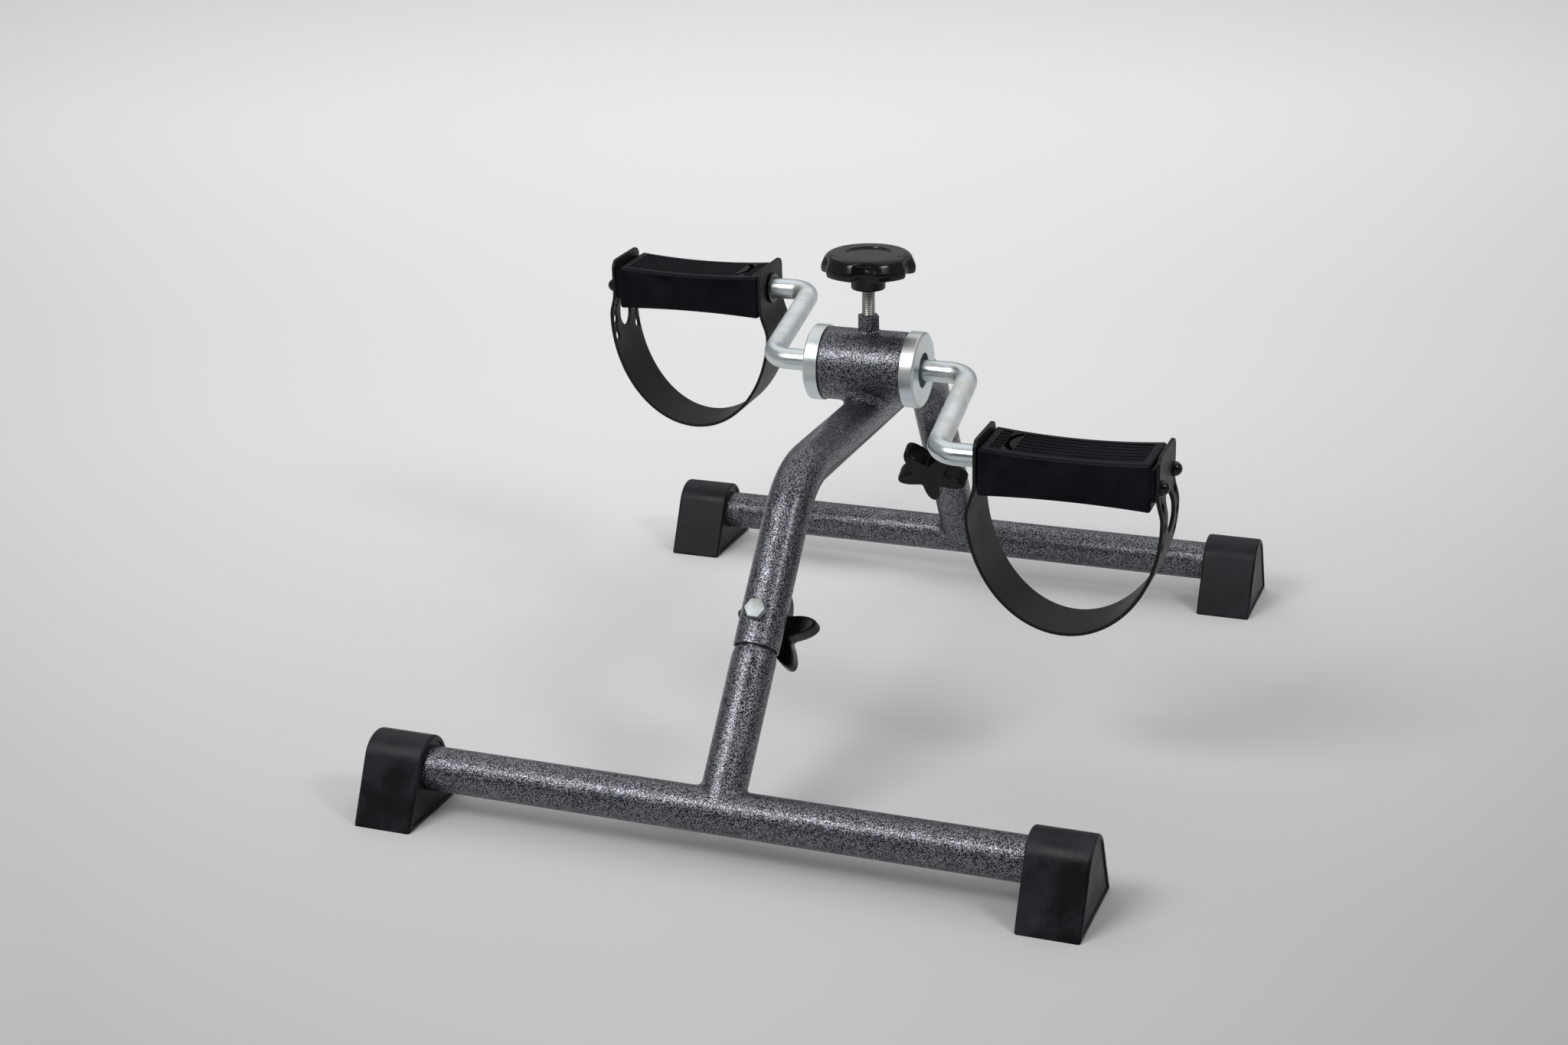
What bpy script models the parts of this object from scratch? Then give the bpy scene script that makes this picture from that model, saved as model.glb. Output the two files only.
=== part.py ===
"""Pedal exerciser: a low bicycle trainer for the feet, standing on two cross bars.

Units are metres, +Z is up, X runs along the cross bars and the crank axle, and
-Y is the front. The origin is on the floor under the middle of the frame.
"""
import bmesh
import bpy
from collections import namedtuple
from math import acos, asin, atan2, cos, hypot, pi, radians, sin, sqrt, tan
from mathutils import Matrix, Vector

# Clearances and facets
FIT = 0.0003
THREAD_FIT = 0.0003
TUBE_SIDES = 20
ROUND_SIDES = 24
SMALL_SIDES = 12
ROD_SIDES = 14
BEND_STEPS = 6

# Frame tubes
BAR_SPACING = 0.4554
BAR_HEIGHT = 0.0265
TUBE_RADIUS = 0.0125
TUBE_WALL = 0.0014
FRONT_LEAN = radians(40.0)
REAR_LEAN = radians(31.5)
TOP_RUN_HEIGHT = 0.1764
UPPER_TUBE_RADIUS = 0.01285
UPPER_TUBE_WALL = 0.0012
FRAME_BEND_RADIUS = 0.050
FRONT_STUB_LENGTH = 0.0917
REAR_STUB_LENGTH = 0.079
SWAGE_LENGTH = 0.0095
STUB_INSERT = 0.038
LEG_WELD_RADIUS = 0.0026

# Rubber feet
FOOT_SPAN = 0.414
FOOT_LENGTH = 0.035
FOOT_END_WALL = 0.0147
FOOT_DEPTH = 0.064
FOOT_HEIGHT = 0.0452
FOOT_TOP_RADIUS = 0.0165
FOOT_EDGE = 0.0015
FOOT_DISH_RIM = 0.0028
FOOT_DISH_DEPTH = 0.0008
FOOT_GROOVE_WIDTH = 0.0024
FOOT_GROOVE_DEPTH = 0.0012
FOOT_GROOVE_PITCH = 0.012
FOOT_GROOVES = 4

# Hub
HUB_Y = 0.0265
HUB_RISE = 0.0282
HUB_RADIUS = 0.022
HUB_BORE = 0.0195
HUB_LENGTH = 0.051
HUB_WELD_RADIUS = 0.0022
CAP_RADIUS = 0.0229
CAP_WIDTH = 0.009
CAP_EDGE = 0.0014
CAP_SPIGOT_LENGTH = 0.008
CAP_HOLE = 0.0105
BUSH_RECESS = 0.0022
BUSH_FLANGE_RADIUS = 0.0130
BUSH_FLANGE_WIDTH = 0.0022

# Crank
CRANK_LENGTH = 0.1016
CRANK_ANGLE = radians(9.2)
ROD_RADIUS = 0.0065
ARM_ROOT_X = 0.0634
ARM_TIP_X = 0.0725
CRANK_BEND_RADIUS = 0.0135
PIN_RADIUS = 0.005
DRUM_RADIUS = 0.011

# Brake, screw and knob
SHOE_LENGTH = 0.016
SHOE_WIDTH = 0.013
SHOE_THICKNESS = 0.0042
SCREW_RADIUS = 0.004
SCREW_POINT_SHARE = 0.7
BOSS_ACROSS_FLATS = 0.013
BOSS_HEIGHT = 0.0097
SCREW_SHOWING = 0.0161
KNOB_RADIUS = 0.0284
KNOB_TOP_RADIUS = 0.0252
KNOB_HEIGHT = 0.0125
KNOB_LOBES = 5
KNOB_SCALLOP = 0.0055
KNOB_SCALLOP_RADIUS = 0.0115
KNOB_SCALLOP_LEAN = 0.0070
KNOB_TURN = radians(-71.0)
KNOB_CROWN = 0.0045
KNOB_SKIRT_ROLL = 0.0022
KNOB_WALL = 0.003
KNOB_HOLLOW = 0.0085
KNOB_COLLAR_RADIUS = 0.0103
KNOB_COLLAR_DROP = 0.0098
KNOB_RECESS_RADIUS = 0.0128
KNOB_RECESS_DEPTH = 0.0007
SCREW_IN_KNOB = 0.0125

# Leg locks
LOCK_ABOVE_SEAM = 0.0190
LOCK_BOLT_RADIUS = 0.003
LOCK_HEAD_FLATS = 0.0105
LOCK_HEAD_HEIGHT = 0.0042
LOCK_WASHER_RADIUS = 0.0085
LOCK_WASHER_THICKNESS = 0.0012
LOCK_KNOB_REACH = 0.0245
LOCK_KNOB_VALLEY = 0.0115
LOCK_KNOB_THICKNESS = 0.013
LOCK_KNOB_BOSS_RADIUS = 0.0088
LOCK_KNOB_BOSS_HEIGHT = 0.004
LOCK_KNOB_ARMS = 5
FRONT_KNOB_TURN = radians(17.0)
REAR_KNOB_TURN = radians(-18.0)
LOCK_KNOB_EDGE = 0.0028
LOCK_BOLT_IN_KNOB = 0.0125
LOCK_KNOB_POINTS = 50
LOCK_KNOB_ARM_START = 0.10
LOCK_KNOB_ARM_STOP = 0.75

# Pedals
PEDAL_CENTRE_X = 0.151
PEDAL_LENGTH = 0.097
PEDAL_DEPTH = 0.0420
PEDAL_THICKNESS = 0.028
PEDAL_DROP = 0.002
PEDAL_TILT = radians(1.5)
PEDAL_DIP = 0.0023
PEDAL_BOW = 0.0012
PEDAL_WAIST = 0.0011
PEDAL_EDGE = 0.0022
TREAD_RIBS = 8
TREAD_BORDER = 0.0010
TREAD_GROOVE_WIDTH = 0.0023
TREAD_GROOVE_DEPTH = 0.0026
TREAD_END = 0.0055
TREAD_SHORT = 0.0060
TREAD_LAND = 0.0075
CRESCENT_DEPTH = 0.0046
CRESCENT_LENGTH = 0.0290
CRESCENT_WIDTH = 0.0032
CRESCENT_BULGE = 0.0060
UNDER_POCKET_DEPTH = 0.0125
UNDER_WALL = 0.0032
UNDER_POCKETS = 3
AXLE_BARREL_RADIUS = 0.0105
END_PAD_THICKNESS = 0.0024
END_PAD_DEPTH = 0.040
END_PAD_HEIGHT = 0.019

# Pedal axle fittings
SLEEVE_BARREL_RADIUS = 0.0082
SLEEVE_FLANGE_RADIUS = 0.0098
SLEEVE_FLANGE_WIDTH = 0.0016
SLEEVE_DEPTH = 0.012
RETAINER_RADIUS = 0.0080
RETAINER_THICKNESS = 0.0022
RETAINER_POCKET_DEPTH = 0.008
PIN_BEYOND_RETAINER = 0.0016

# Pedal straps
STRAP_THICKNESS = 0.002
STRAP_DROP = 0.0945
STRAP_BELLY = 0.0065
STRAP_SPRING = 0.0215
STRAP_TAB_START = 0.006
STRAP_TAB_RISE = 0.0160
STRAP_TAB_CORNER = 0.0060
STRAP_END_WIDTH = 0.041
STRAP_MIDDLE_WIDTH = 0.0355
STRAP_STEPS = 40
STUD_OFFSET = 0.0158
STUD_HEIGHT = -0.0018
STUD_STEM_RADIUS = 0.002
STUD_HEAD_RADIUS = 0.0042
STUD_HEAD_HEIGHT = 0.0045
STUD_ROOT = 0.006
HOLE_PITCH = 0.0115
HOLE_COUNT = 4
HOLE_RADIUS = 0.0027
SLIT_WIDTH = 0.0013
SLOT_TOP = 0.009
SLOT_BOTTOM = 0.0320
SLOT_WIDTH = 0.0160

# Places worked out from the sizes above
HALF_SPACING = BAR_SPACING / 2
STUB_BORE = TUBE_RADIUS - TUBE_WALL
SWAGE_RADIUS = UPPER_TUBE_RADIUS - UPPER_TUBE_WALL - FIT
SWAGE_BORE = SWAGE_RADIUS - TUBE_WALL
FOOT_OUTER_X = FOOT_SPAN / 2
BAR_LENGTH = FOOT_SPAN - 2 * (FOOT_END_WALL + FIT)
HUB_HEIGHT = TOP_RUN_HEIGHT + HUB_RISE
FOOT_INNER_X = FOOT_OUTER_X - FOOT_LENGTH
HUB_END = HUB_LENGTH / 2
CAP_INNER = HUB_END + FIT
CAP_FACE = CAP_INNER + CAP_WIDTH
SPIGOT_END = CAP_INNER - CAP_SPIGOT_LENGTH
SPIGOT_RADIUS = HUB_BORE - FIT
BUSH_RADIUS = CAP_HOLE - FIT
BUSH_BORE = ROD_RADIUS + FIT
BUSH_INNER = SPIGOT_END - FIT - BUSH_FLANGE_WIDTH
DRUM_HALF = BUSH_INNER - FIT
SHOE_BOTTOM = DRUM_RADIUS + FIT
SHOE_TOP = SHOE_BOTTOM + SHOE_THICKNESS
SCREW_TIP = SHOE_TOP + FIT
BOSS_TOP = HUB_RADIUS + BOSS_HEIGHT
COLLAR_BOTTOM = BOSS_TOP + SCREW_SHOWING
KNOB_BOTTOM = COLLAR_BOTTOM + KNOB_COLLAR_DROP
KNOB_TOP = KNOB_BOTTOM + KNOB_HEIGHT
SCREW_TOP = COLLAR_BOTTOM + SCREW_IN_KNOB
LOCK_SEAT = UPPER_TUBE_RADIUS + FIT
LOCK_KNOB_FACE = LOCK_SEAT + LOCK_WASHER_THICKNESS + FIT
LOCK_BOLT_END = LOCK_KNOB_FACE + LOCK_BOLT_IN_KNOB
LOCK_HOLE = LOCK_BOLT_RADIUS + FIT
PEDAL_END = PEDAL_LENGTH / 2
STRAP_BULGE = PEDAL_END + STRAP_BELLY
PEDAL_TOP = PEDAL_THICKNESS / 2 - PEDAL_DROP
PEDAL_BOTTOM = -PEDAL_THICKNESS / 2 - PEDAL_DROP
PAD_END = PEDAL_END + END_PAD_THICKNESS
INNER_TAB = PEDAL_END + FIT + STRAP_THICKNESS / 2
OUTER_TAB = PAD_END + FIT + STRAP_THICKNESS / 2
SLEEVE_SEAT = PEDAL_END + 2 * FIT + STRAP_THICKNESS
STUD_SEAT = PAD_END + 2 * FIT + STRAP_THICKNESS
RETAINER_SEAT = PEDAL_END - RETAINER_POCKET_DEPTH + FIT
PIN_END = RETAINER_SEAT + RETAINER_THICKNESS + PIN_BEYOND_RETAINER
PIN_SHOULDER = PEDAL_CENTRE_X - PEDAL_END + SLEEVE_DEPTH - FIT


# Scene, collections and materials

def clear_scene():
    for thing in list(bpy.data.objects):
        bpy.data.objects.remove(thing, do_unlink=True)


def new_collection(name):
    collection = bpy.data.collections.new(name)
    bpy.context.scene.collection.children.link(collection)
    return collection


def new_material(name, colour, roughness, metallic):
    material = bpy.data.materials.new(name)
    material.use_nodes = True
    shader = material.node_tree.nodes["Principled BSDF"]
    shader.inputs["Base Color"].default_value = (*colour, 1.0)
    shader.inputs["Roughness"].default_value = roughness
    shader.inputs["Metallic"].default_value = metallic
    return material


clear_scene()
PARTS = new_collection("pedal_exerciser")
CUTTERS = new_collection("cutters")


# Basic forms

def keep(mesh, name):
    """Put a mesh into the scene as a new object."""
    thing = bpy.data.objects.new(name, mesh)
    PARTS.objects.link(thing)
    return thing


def from_bmesh(bm, name):
    mesh = bpy.data.meshes.new(name)
    bm.to_mesh(mesh)
    bm.free()
    return keep(mesh, name)


def boxes(name, sizes_and_centres):
    """Several separate boxes in one object."""
    bm = bmesh.new()
    for size, centre in sizes_and_centres:
        matrix = Matrix.Translation(centre) @ Matrix.Diagonal((*size, 1.0))
        bmesh.ops.create_cube(bm, size=1.0, matrix=matrix)
    return from_bmesh(bm, name)


def cylinders(name, ends_and_radii, sides=ROUND_SIDES):
    """Several separate cylinders in one object, each from one end to the other."""
    bm = bmesh.new()
    for start, end, radius in ends_and_radii:
        start, end = Vector(start), Vector(end)
        turn = (end - start).to_track_quat("Z", "Y").to_matrix().to_4x4()
        matrix = Matrix.Translation((start + end) / 2) @ turn
        bmesh.ops.create_cone(bm, cap_ends=True, segments=sides, radius1=radius,
                              radius2=radius, depth=(end - start).length, matrix=matrix)
    return from_bmesh(bm, name)


def bake(source, name):
    """Replace an object by the mesh that it evaluates to, welded and facing out."""
    graph = bpy.context.evaluated_depsgraph_get()
    mesh = bpy.data.meshes.new_from_object(source.evaluated_get(graph))
    bm = bmesh.new()
    bm.from_mesh(mesh)
    bmesh.ops.remove_doubles(bm, verts=bm.verts, dist=0.000001)
    bmesh.ops.recalc_face_normals(bm, faces=bm.faces)
    bm.to_mesh(mesh)
    bm.free()
    thing = keep(mesh, name)
    thing.matrix_world = source.matrix_world
    bpy.data.objects.remove(source, do_unlink=True)
    return thing


def turned(name, profile, closed=True, sides=ROUND_SIDES):
    """Turn a profile of (radius, height) points about Z, outer side from top to bottom."""
    bm = bmesh.new()
    points = [bm.verts.new((radius, 0, height)) for radius, height in profile]
    for first, second in zip(points, points[1:]):
        bm.edges.new((first, second))
    if closed:
        bm.edges.new((points[-1], points[0]))
    half_view = from_bmesh(bm, name + "_profile")
    screw = half_view.modifiers.new("Turn", "SCREW")
    screw.steps = sides
    screw.render_steps = sides
    screw.use_merge_vertices = True
    screw.merge_threshold = 0.00001
    screw.use_smooth_shade = False
    return bake(half_view, name)


def swept(name, points, radius, sides=TUBE_SIDES, cyclic=False):
    """A round rod along a line of points."""
    curve = bpy.data.curves.new(name + "_path", "CURVE")
    curve.dimensions = "3D"
    curve.bevel_depth = radius
    curve.bevel_resolution = (sides - 4) // 2
    curve.use_fill_caps = True
    spline = curve.splines.new("POLY")
    spline.points.add(len(points) - 1)
    for target, point in zip(spline.points, points):
        target.co = (*point, 1.0)
    spline.use_cyclic_u = cyclic
    return bake(keep(curve, name + "_path"), name)


def plate(name, outline, thickness):
    """A flat outline in XY, thick along Z and centred on it."""
    curve = bpy.data.curves.new(name + "_outline", "CURVE")
    curve.dimensions = "2D"
    curve.fill_mode = "BOTH"
    curve.extrude = thickness / 2
    spline = curve.splines.new("POLY")
    spline.points.add(len(outline) - 1)
    for target, (x, y) in zip(spline.points, outline):
        target.co = (x, y, 0, 1.0)
    spline.use_cyclic_u = True
    return bake(keep(curve, name + "_outline"), name)


def arc(centre, radius, start, end, steps):
    """Points on a round stretch, both ends included."""
    angles = [start + (end - start) * step / steps for step in range(steps + 1)]
    return [(centre[0] + radius * cos(a), centre[1] + radius * sin(a)) for a in angles]


def rounded_path(corners, radius, steps=BEND_STEPS):
    """A line through corners in space, each inner corner bent to a radius."""
    corners = [Vector(corner) for corner in corners]
    points = [corners[0]]
    for before, corner, after in zip(corners, corners[1:], corners[2:]):
        inward, outward = (before - corner).normalized(), (after - corner).normalized()
        half = acos(inward.dot(outward)) / 2
        bisector = (inward + outward).normalized()
        centre = corner + bisector * radius / sin(half)
        swing = pi / 2 - half
        for step in range(steps + 1):
            angle = -swing + 2 * swing * step / steps
            side = (outward - inward).normalized()
            points.append(centre - bisector * radius * cos(angle) + side * radius * sin(angle))
    points.append(corners[-1])
    return points


# Changes to forms

def apply_transform(thing, matrix):
    """Move the mesh itself, so that the object stays unturned and unscaled."""
    thing.data.transform(matrix)
    return thing


def combine(target, other, operation, name):
    """Add a Boolean to the target and put the other piece away with the cutters."""
    modifier = target.modifiers.new(name, "BOOLEAN")
    modifier.operation = operation
    modifier.solver = "EXACT"
    modifier.object = other
    PARTS.objects.unlink(other)
    CUTTERS.objects.link(other)
    other.parent = target
    other.display_type = "WIRE"
    other.hide_render = True


def cut(target, cutter):
    combine(target, cutter, "DIFFERENCE", "Cut")


def join(target, piece):
    combine(target, piece, "UNION", "Join")


def soften(thing, width, segments=2, angle=radians(35)):
    bevel = thing.modifiers.new("Edges", "BEVEL")
    bevel.width = width
    bevel.segments = segments
    bevel.limit_method = "ANGLE"
    bevel.angle_limit = angle


def finish(thing, material, parent=None, location=(0, 0, 0), rotation=(0, 0, 0)):
    """Give a part its material and its place, and close what its cuts left split."""
    weld = thing.modifiers.new("Weld", "WELD")
    weld.merge_threshold = 0.00001
    thing.data.materials.clear()
    thing.data.materials.append(material)
    thing.parent = parent
    thing.location = location
    thing.rotation_euler = rotation
    return thing


def axis_empty(name, parent=None, location=(0, 0, 0), rotation=(0, 0, 0)):
    empty = bpy.data.objects.new(name, None)
    empty.empty_display_size = 0.02
    PARTS.objects.link(empty)
    empty.parent = parent
    empty.location = location
    empty.rotation_euler = rotation
    return empty


TO_X = Matrix.Rotation(pi / 2, 4, "Y")
Leg = namedtuple("Leg", "end turn lean stub_length knob_turn")
LEGS = (Leg("front", 0.0, FRONT_LEAN, FRONT_STUB_LENGTH, FRONT_KNOB_TURN),
        Leg("rear", pi, REAR_LEAN, REAR_STUB_LENGTH, REAR_KNOB_TURN))
SIDES = (("right", 0.0), ("left", pi))

PAINT = new_material("hammertone_paint", (0.055, 0.056, 0.062), 0.30, 0.70)
RUBBER = new_material("foot_rubber", (0.020, 0.022, 0.027), 0.62, 0.0)
ZINC = new_material("zinc_plate", (0.72, 0.75, 0.78), 0.24, 1.0)
STEEL = new_material("plain_steel", (0.46, 0.45, 0.43), 0.34, 1.0)
KNOB_PLASTIC = new_material("knob_plastic", (0.012, 0.012, 0.013), 0.22, 0.0)
PEDAL_PLASTIC = new_material("pedal_plastic", (0.013, 0.013, 0.016), 0.36, 0.0)
STRAP_PLASTIC = new_material("strap_plastic", (0.035, 0.035, 0.036), 0.48, 0.0)
NYLON = new_material("nylon", (0.03, 0.03, 0.032), 0.45, 0.0)


# Cross bars with their leg stubs

def weld_ring(name, upright_radius, flat_radius, bead_radius, matrix, steps=24):
    """A bead where an upright tube along Z meets a tube along X through the origin."""
    points = []
    for step in range(steps):
        angle = 2 * pi * step / steps
        across = upright_radius * sin(angle)
        height = sqrt(max(flat_radius ** 2 - across ** 2, 0.0))
        points.append(matrix @ Vector((upright_radius * cos(angle), across, height)))
    return swept(name, points, bead_radius, sides=6, cyclic=True)


def leg_turn(leg):
    """From a tube along Z to the leg's lean, before the leg's end is turned round."""
    return Matrix.Rotation(-leg.lean, 4, "X")


def leg_point(leg, distance):
    """A point on a leg's axis, measured from its cross bar's axis."""
    start = Vector((0, -HALF_SPACING, BAR_HEIGHT)) + leg_turn(leg) @ Vector((0, 0, distance))
    return Matrix.Rotation(leg.turn, 4, "Z") @ start


def stub_form(leg, name, top, narrow, wide, bottom):
    """A turned form that narrows at the swage, for the stub or its bore."""
    profile = [(0, top), (narrow, top), (narrow, leg.stub_length), (wide, leg.stub_length - SWAGE_LENGTH),
               (wide, bottom), (0, bottom)]
    return apply_transform(turned(name, profile, closed=False, sides=TUBE_SIDES), leg_turn(leg))


def lock_hole(leg, name, base):
    """A cross hole for the lock bolt, measured along the leg from the bar's axis."""
    reach = 2 * UPPER_TUBE_RADIUS
    height = leg.stub_length + LOCK_ABOVE_SEAM
    hole = cylinders(name, [((0, -reach, height), (0, reach, height), LOCK_HOLE)], sides=SMALL_SIDES)
    return apply_transform(hole, base @ leg_turn(leg))


def cross_bar(leg):
    half = BAR_LENGTH / 2
    end = leg.end
    bar = cylinders(end + "_cross_bar", [((-half, 0, 0), (half, 0, 0), TUBE_RADIUS)], sides=TUBE_SIDES)
    top = leg.stub_length + STUB_INSERT
    join(bar, stub_form(leg, end + "_stub", top, SWAGE_RADIUS, TUBE_RADIUS, 0))
    join(bar, weld_ring(end + "_bead", TUBE_RADIUS, TUBE_RADIUS, LEG_WELD_RADIUS, leg_turn(leg)))
    cut(bar, stub_form(leg, end + "_stub_bore", top + TUBE_RADIUS, SWAGE_BORE, STUB_BORE, TUBE_RADIUS + FIT))
    cut(bar, cylinders(end + "_bar_bore", [((-half - TUBE_WALL, 0, 0), (half + TUBE_WALL, 0, 0), STUB_BORE)],
                       sides=TUBE_SIDES))
    cut(bar, lock_hole(leg, end + "_stub_hole", Matrix.Identity(4)))
    y = -HALF_SPACING * cos(leg.turn)
    return finish(bar, PAINT, location=(0, y, BAR_HEIGHT), rotation=(0, 0, leg.turn))


# Feet

def foot_outline(inset=0.0):
    """The end view of a foot: a flat base, sloping sides and a round top."""
    centre = FOOT_HEIGHT - FOOT_TOP_RADIUS
    radius = FOOT_TOP_RADIUS - inset
    half = FOOT_DEPTH / 2

    def side_angle(half_base, base, size):
        reach = hypot(half_base, centre - base)
        return atan2(centre - base, half_base) + asin(size / reach)

    slope = side_angle(half, 0.0, FOOT_TOP_RADIUS)
    base_half = half - inset / tan(slope / 2)
    top = arc((0, centre), radius, pi / 2 - slope, pi / 2 + slope, 8)
    return [(base_half, inset)] + top + [(-base_half, inset)]


def foot_plate(name, thickness, middle, inset=0.0):
    """A foot outline stood up across X, with its middle plane at a place along X."""
    piece = plate(name, foot_outline(inset), thickness)
    stand = Matrix(((0, 0, 1, middle), (1, 0, 0, 0), (0, 1, 0, 0), (0, 0, 0, 1)))
    return apply_transform(piece, stand)


def foot(name, y, turn):
    body = foot_plate(name, FOOT_LENGTH, FOOT_LENGTH / 2)
    soften(body, FOOT_EDGE, segments=1)
    socket_depth = BAR_LENGTH / 2 + FIT - FOOT_INNER_X
    socket = cylinders(name + "_socket", [((-FOOT_EDGE, 0, BAR_HEIGHT), (socket_depth, 0, BAR_HEIGHT),
                                          TUBE_RADIUS + FIT)], sides=TUBE_SIDES)
    cut(body, socket)
    cut(body, foot_plate(name + "_dish", 2 * FOOT_DISH_DEPTH, FOOT_LENGTH, FOOT_DISH_RIM))
    first = -FOOT_GROOVE_PITCH * (FOOT_GROOVES - 1) / 2
    grooves = [((2 * FOOT_LENGTH, FOOT_GROOVE_WIDTH, 2 * FOOT_GROOVE_DEPTH),
                (FOOT_LENGTH / 2, first + FOOT_GROOVE_PITCH * number, 0)) for number in range(FOOT_GROOVES)]
    cut(body, boxes(name + "_grooves", grooves))
    return finish(body, RUBBER, location=(FOOT_INNER_X * cos(turn), y, 0), rotation=(0, 0, turn))


# Upper frame tube

def bend_corner(leg):
    """Where a leg's axis meets the axis of the top run."""
    reach = HALF_SPACING - (TOP_RUN_HEIGHT - BAR_HEIGHT) * tan(leg.lean)
    return (0, -reach * cos(leg.turn), TOP_RUN_HEIGHT)


def frame_path(past_end):
    """The bent tube's axis, from a distance past one open end to the same past the other."""
    front, rear = LEGS
    start = leg_point(front, front.stub_length + FIT - past_end)
    stop = leg_point(rear, rear.stub_length + FIT - past_end)
    return rounded_path([start, bend_corner(front), bend_corner(rear), stop], FRAME_BEND_RADIUS)


def upper_frame_tube():
    tube = swept("upper_frame_tube", frame_path(0.0), UPPER_TUBE_RADIUS)
    cut(tube, swept("upper_bore", frame_path(UPPER_TUBE_RADIUS), UPPER_TUBE_RADIUS - UPPER_TUBE_WALL))
    saddle = cylinders("hub_saddle", [((-HUB_END, HUB_Y, HUB_HEIGHT), (HUB_END, HUB_Y, HUB_HEIGHT),
                                      HUB_RADIUS + FIT)])
    cut(tube, saddle)
    for leg in LEGS:
        base = Matrix.Rotation(leg.turn, 4, "Z") @ Matrix.Translation((0, -HALF_SPACING, BAR_HEIGHT))
        cut(tube, lock_hole(leg, leg.end + "_leg_hole", base))
    return finish(tube, PAINT)


# Hub shell, caps and bushes, built about the crank axis at their own origin

def hub_weld(name, steps=10):
    """A bead along the line where the hub shell sits in the tube's saddle."""
    widest = acos((HUB_RISE - HUB_RADIUS) / UPPER_TUBE_RADIUS)
    points = []
    for side in (-1, 1):
        for step in range(steps):
            angle = side * widest * (1 - 2 * step / steps)
            height = UPPER_TUBE_RADIUS * cos(angle) - HUB_RISE
            reach = sqrt(max(HUB_RADIUS ** 2 - height ** 2, 0.0))
            points.append(Vector((UPPER_TUBE_RADIUS * sin(angle), side * reach, height)))
    return swept(name, points, HUB_WELD_RADIUS, sides=6, cyclic=True)


def hub_shell():
    shell = cylinders("hub_shell", [((-HUB_END, 0, 0), (HUB_END, 0, 0), HUB_RADIUS)])
    bead = hub_weld("hub_bead")
    reach = 2 * HUB_RADIUS
    tube_space = cylinders("tube_space", [((0, -reach, -HUB_RISE), (0, reach, -HUB_RISE),
                                          UPPER_TUBE_RADIUS + FIT)])
    cut(bead, tube_space)
    join(shell, bead)
    cut(shell, cylinders("hub_bore", [((-HUB_LENGTH, 0, 0), (HUB_LENGTH, 0, 0), HUB_BORE)]))
    cut(shell, cylinders("shell_screw_hole", [((0, 0, 0), (0, 0, BOSS_TOP), SCREW_RADIUS + THREAD_FIT)],
                         sides=SMALL_SIDES))
    return finish(shell, PAINT, location=(0, HUB_Y, HUB_HEIGHT))


def tension_boss():
    """The hexagon nut welded on the hub for the tension screw."""
    corner_radius = BOSS_ACROSS_FLATS / sqrt(3)
    bottom = sqrt(HUB_RADIUS ** 2 - corner_radius ** 2) - FIT
    boss = cylinders("tension_boss", [((0, 0, bottom), (0, 0, BOSS_TOP), corner_radius)], sides=6)
    soften(boss, FIT, segments=1)
    cut(boss, cylinders("boss_seat", [((-HUB_END, 0, 0), (HUB_END, 0, 0), HUB_RADIUS + FIT)]))
    cut(boss, cylinders("boss_hole", [((0, 0, 0), (0, 0, 2 * BOSS_TOP), SCREW_RADIUS + THREAD_FIT)],
                        sides=SMALL_SIDES))
    return finish(boss, PAINT, location=(0, HUB_Y, HUB_HEIGHT))


def hub_cap(side, turn):
    profile = [(CAP_RADIUS - CAP_EDGE, CAP_FACE), (CAP_RADIUS - CAP_EDGE / 3, CAP_FACE - CAP_EDGE / 3),
               (CAP_RADIUS, CAP_FACE - CAP_EDGE), (CAP_RADIUS, CAP_INNER), (SPIGOT_RADIUS, CAP_INNER),
               (SPIGOT_RADIUS, SPIGOT_END), (CAP_HOLE, SPIGOT_END), (CAP_HOLE, CAP_FACE)]
    cap = apply_transform(turned("hub_cap_" + side, profile), TO_X)
    return finish(cap, ZINC, location=(0, HUB_Y, HUB_HEIGHT), rotation=(0, 0, turn))


def axle_bush(side, turn):
    top = CAP_FACE - BUSH_RECESS
    shoulder = SPIGOT_END - FIT
    profile = [(BUSH_RADIUS, top), (BUSH_RADIUS, shoulder), (BUSH_FLANGE_RADIUS, shoulder),
               (BUSH_FLANGE_RADIUS, BUSH_INNER), (BUSH_BORE, BUSH_INNER), (BUSH_BORE, top)]
    bush = apply_transform(turned("axle_bush_" + side, profile), TO_X)
    return finish(bush, NYLON, location=(0, HUB_Y, HUB_HEIGHT), rotation=(0, 0, turn))


# Crank, which turns about X; the right arm points to -Y before it is turned

def crank_rod(axis):
    corners = [(-PIN_SHOULDER, CRANK_LENGTH, 0), (-ARM_TIP_X, CRANK_LENGTH, 0), (-ARM_ROOT_X, 0, 0),
               (ARM_ROOT_X, 0, 0), (ARM_TIP_X, -CRANK_LENGTH, 0), (PIN_SHOULDER, -CRANK_LENGTH, 0)]
    rod = swept("crank_rod", rounded_path(corners, CRANK_BEND_RADIUS), ROD_RADIUS, sides=ROD_SIDES)
    tip = PEDAL_CENTRE_X + PIN_END
    root = PIN_SHOULDER - ROD_RADIUS
    pins = [((root * side, -CRANK_LENGTH * side, 0), (tip * side, -CRANK_LENGTH * side, 0), PIN_RADIUS)
            for side in (1, -1)]
    join(rod, cylinders("crank_pins", pins, sides=ROD_SIDES))
    return finish(rod, ZINC, parent=axis)


def brake_drum(axis):
    profile = [(DRUM_RADIUS, DRUM_HALF), (DRUM_RADIUS, -DRUM_HALF),
               (ROD_RADIUS + FIT, -DRUM_HALF), (ROD_RADIUS + FIT, DRUM_HALF)]
    drum = apply_transform(turned("brake_drum", profile), TO_X)
    return finish(drum, NYLON, parent=axis)


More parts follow.
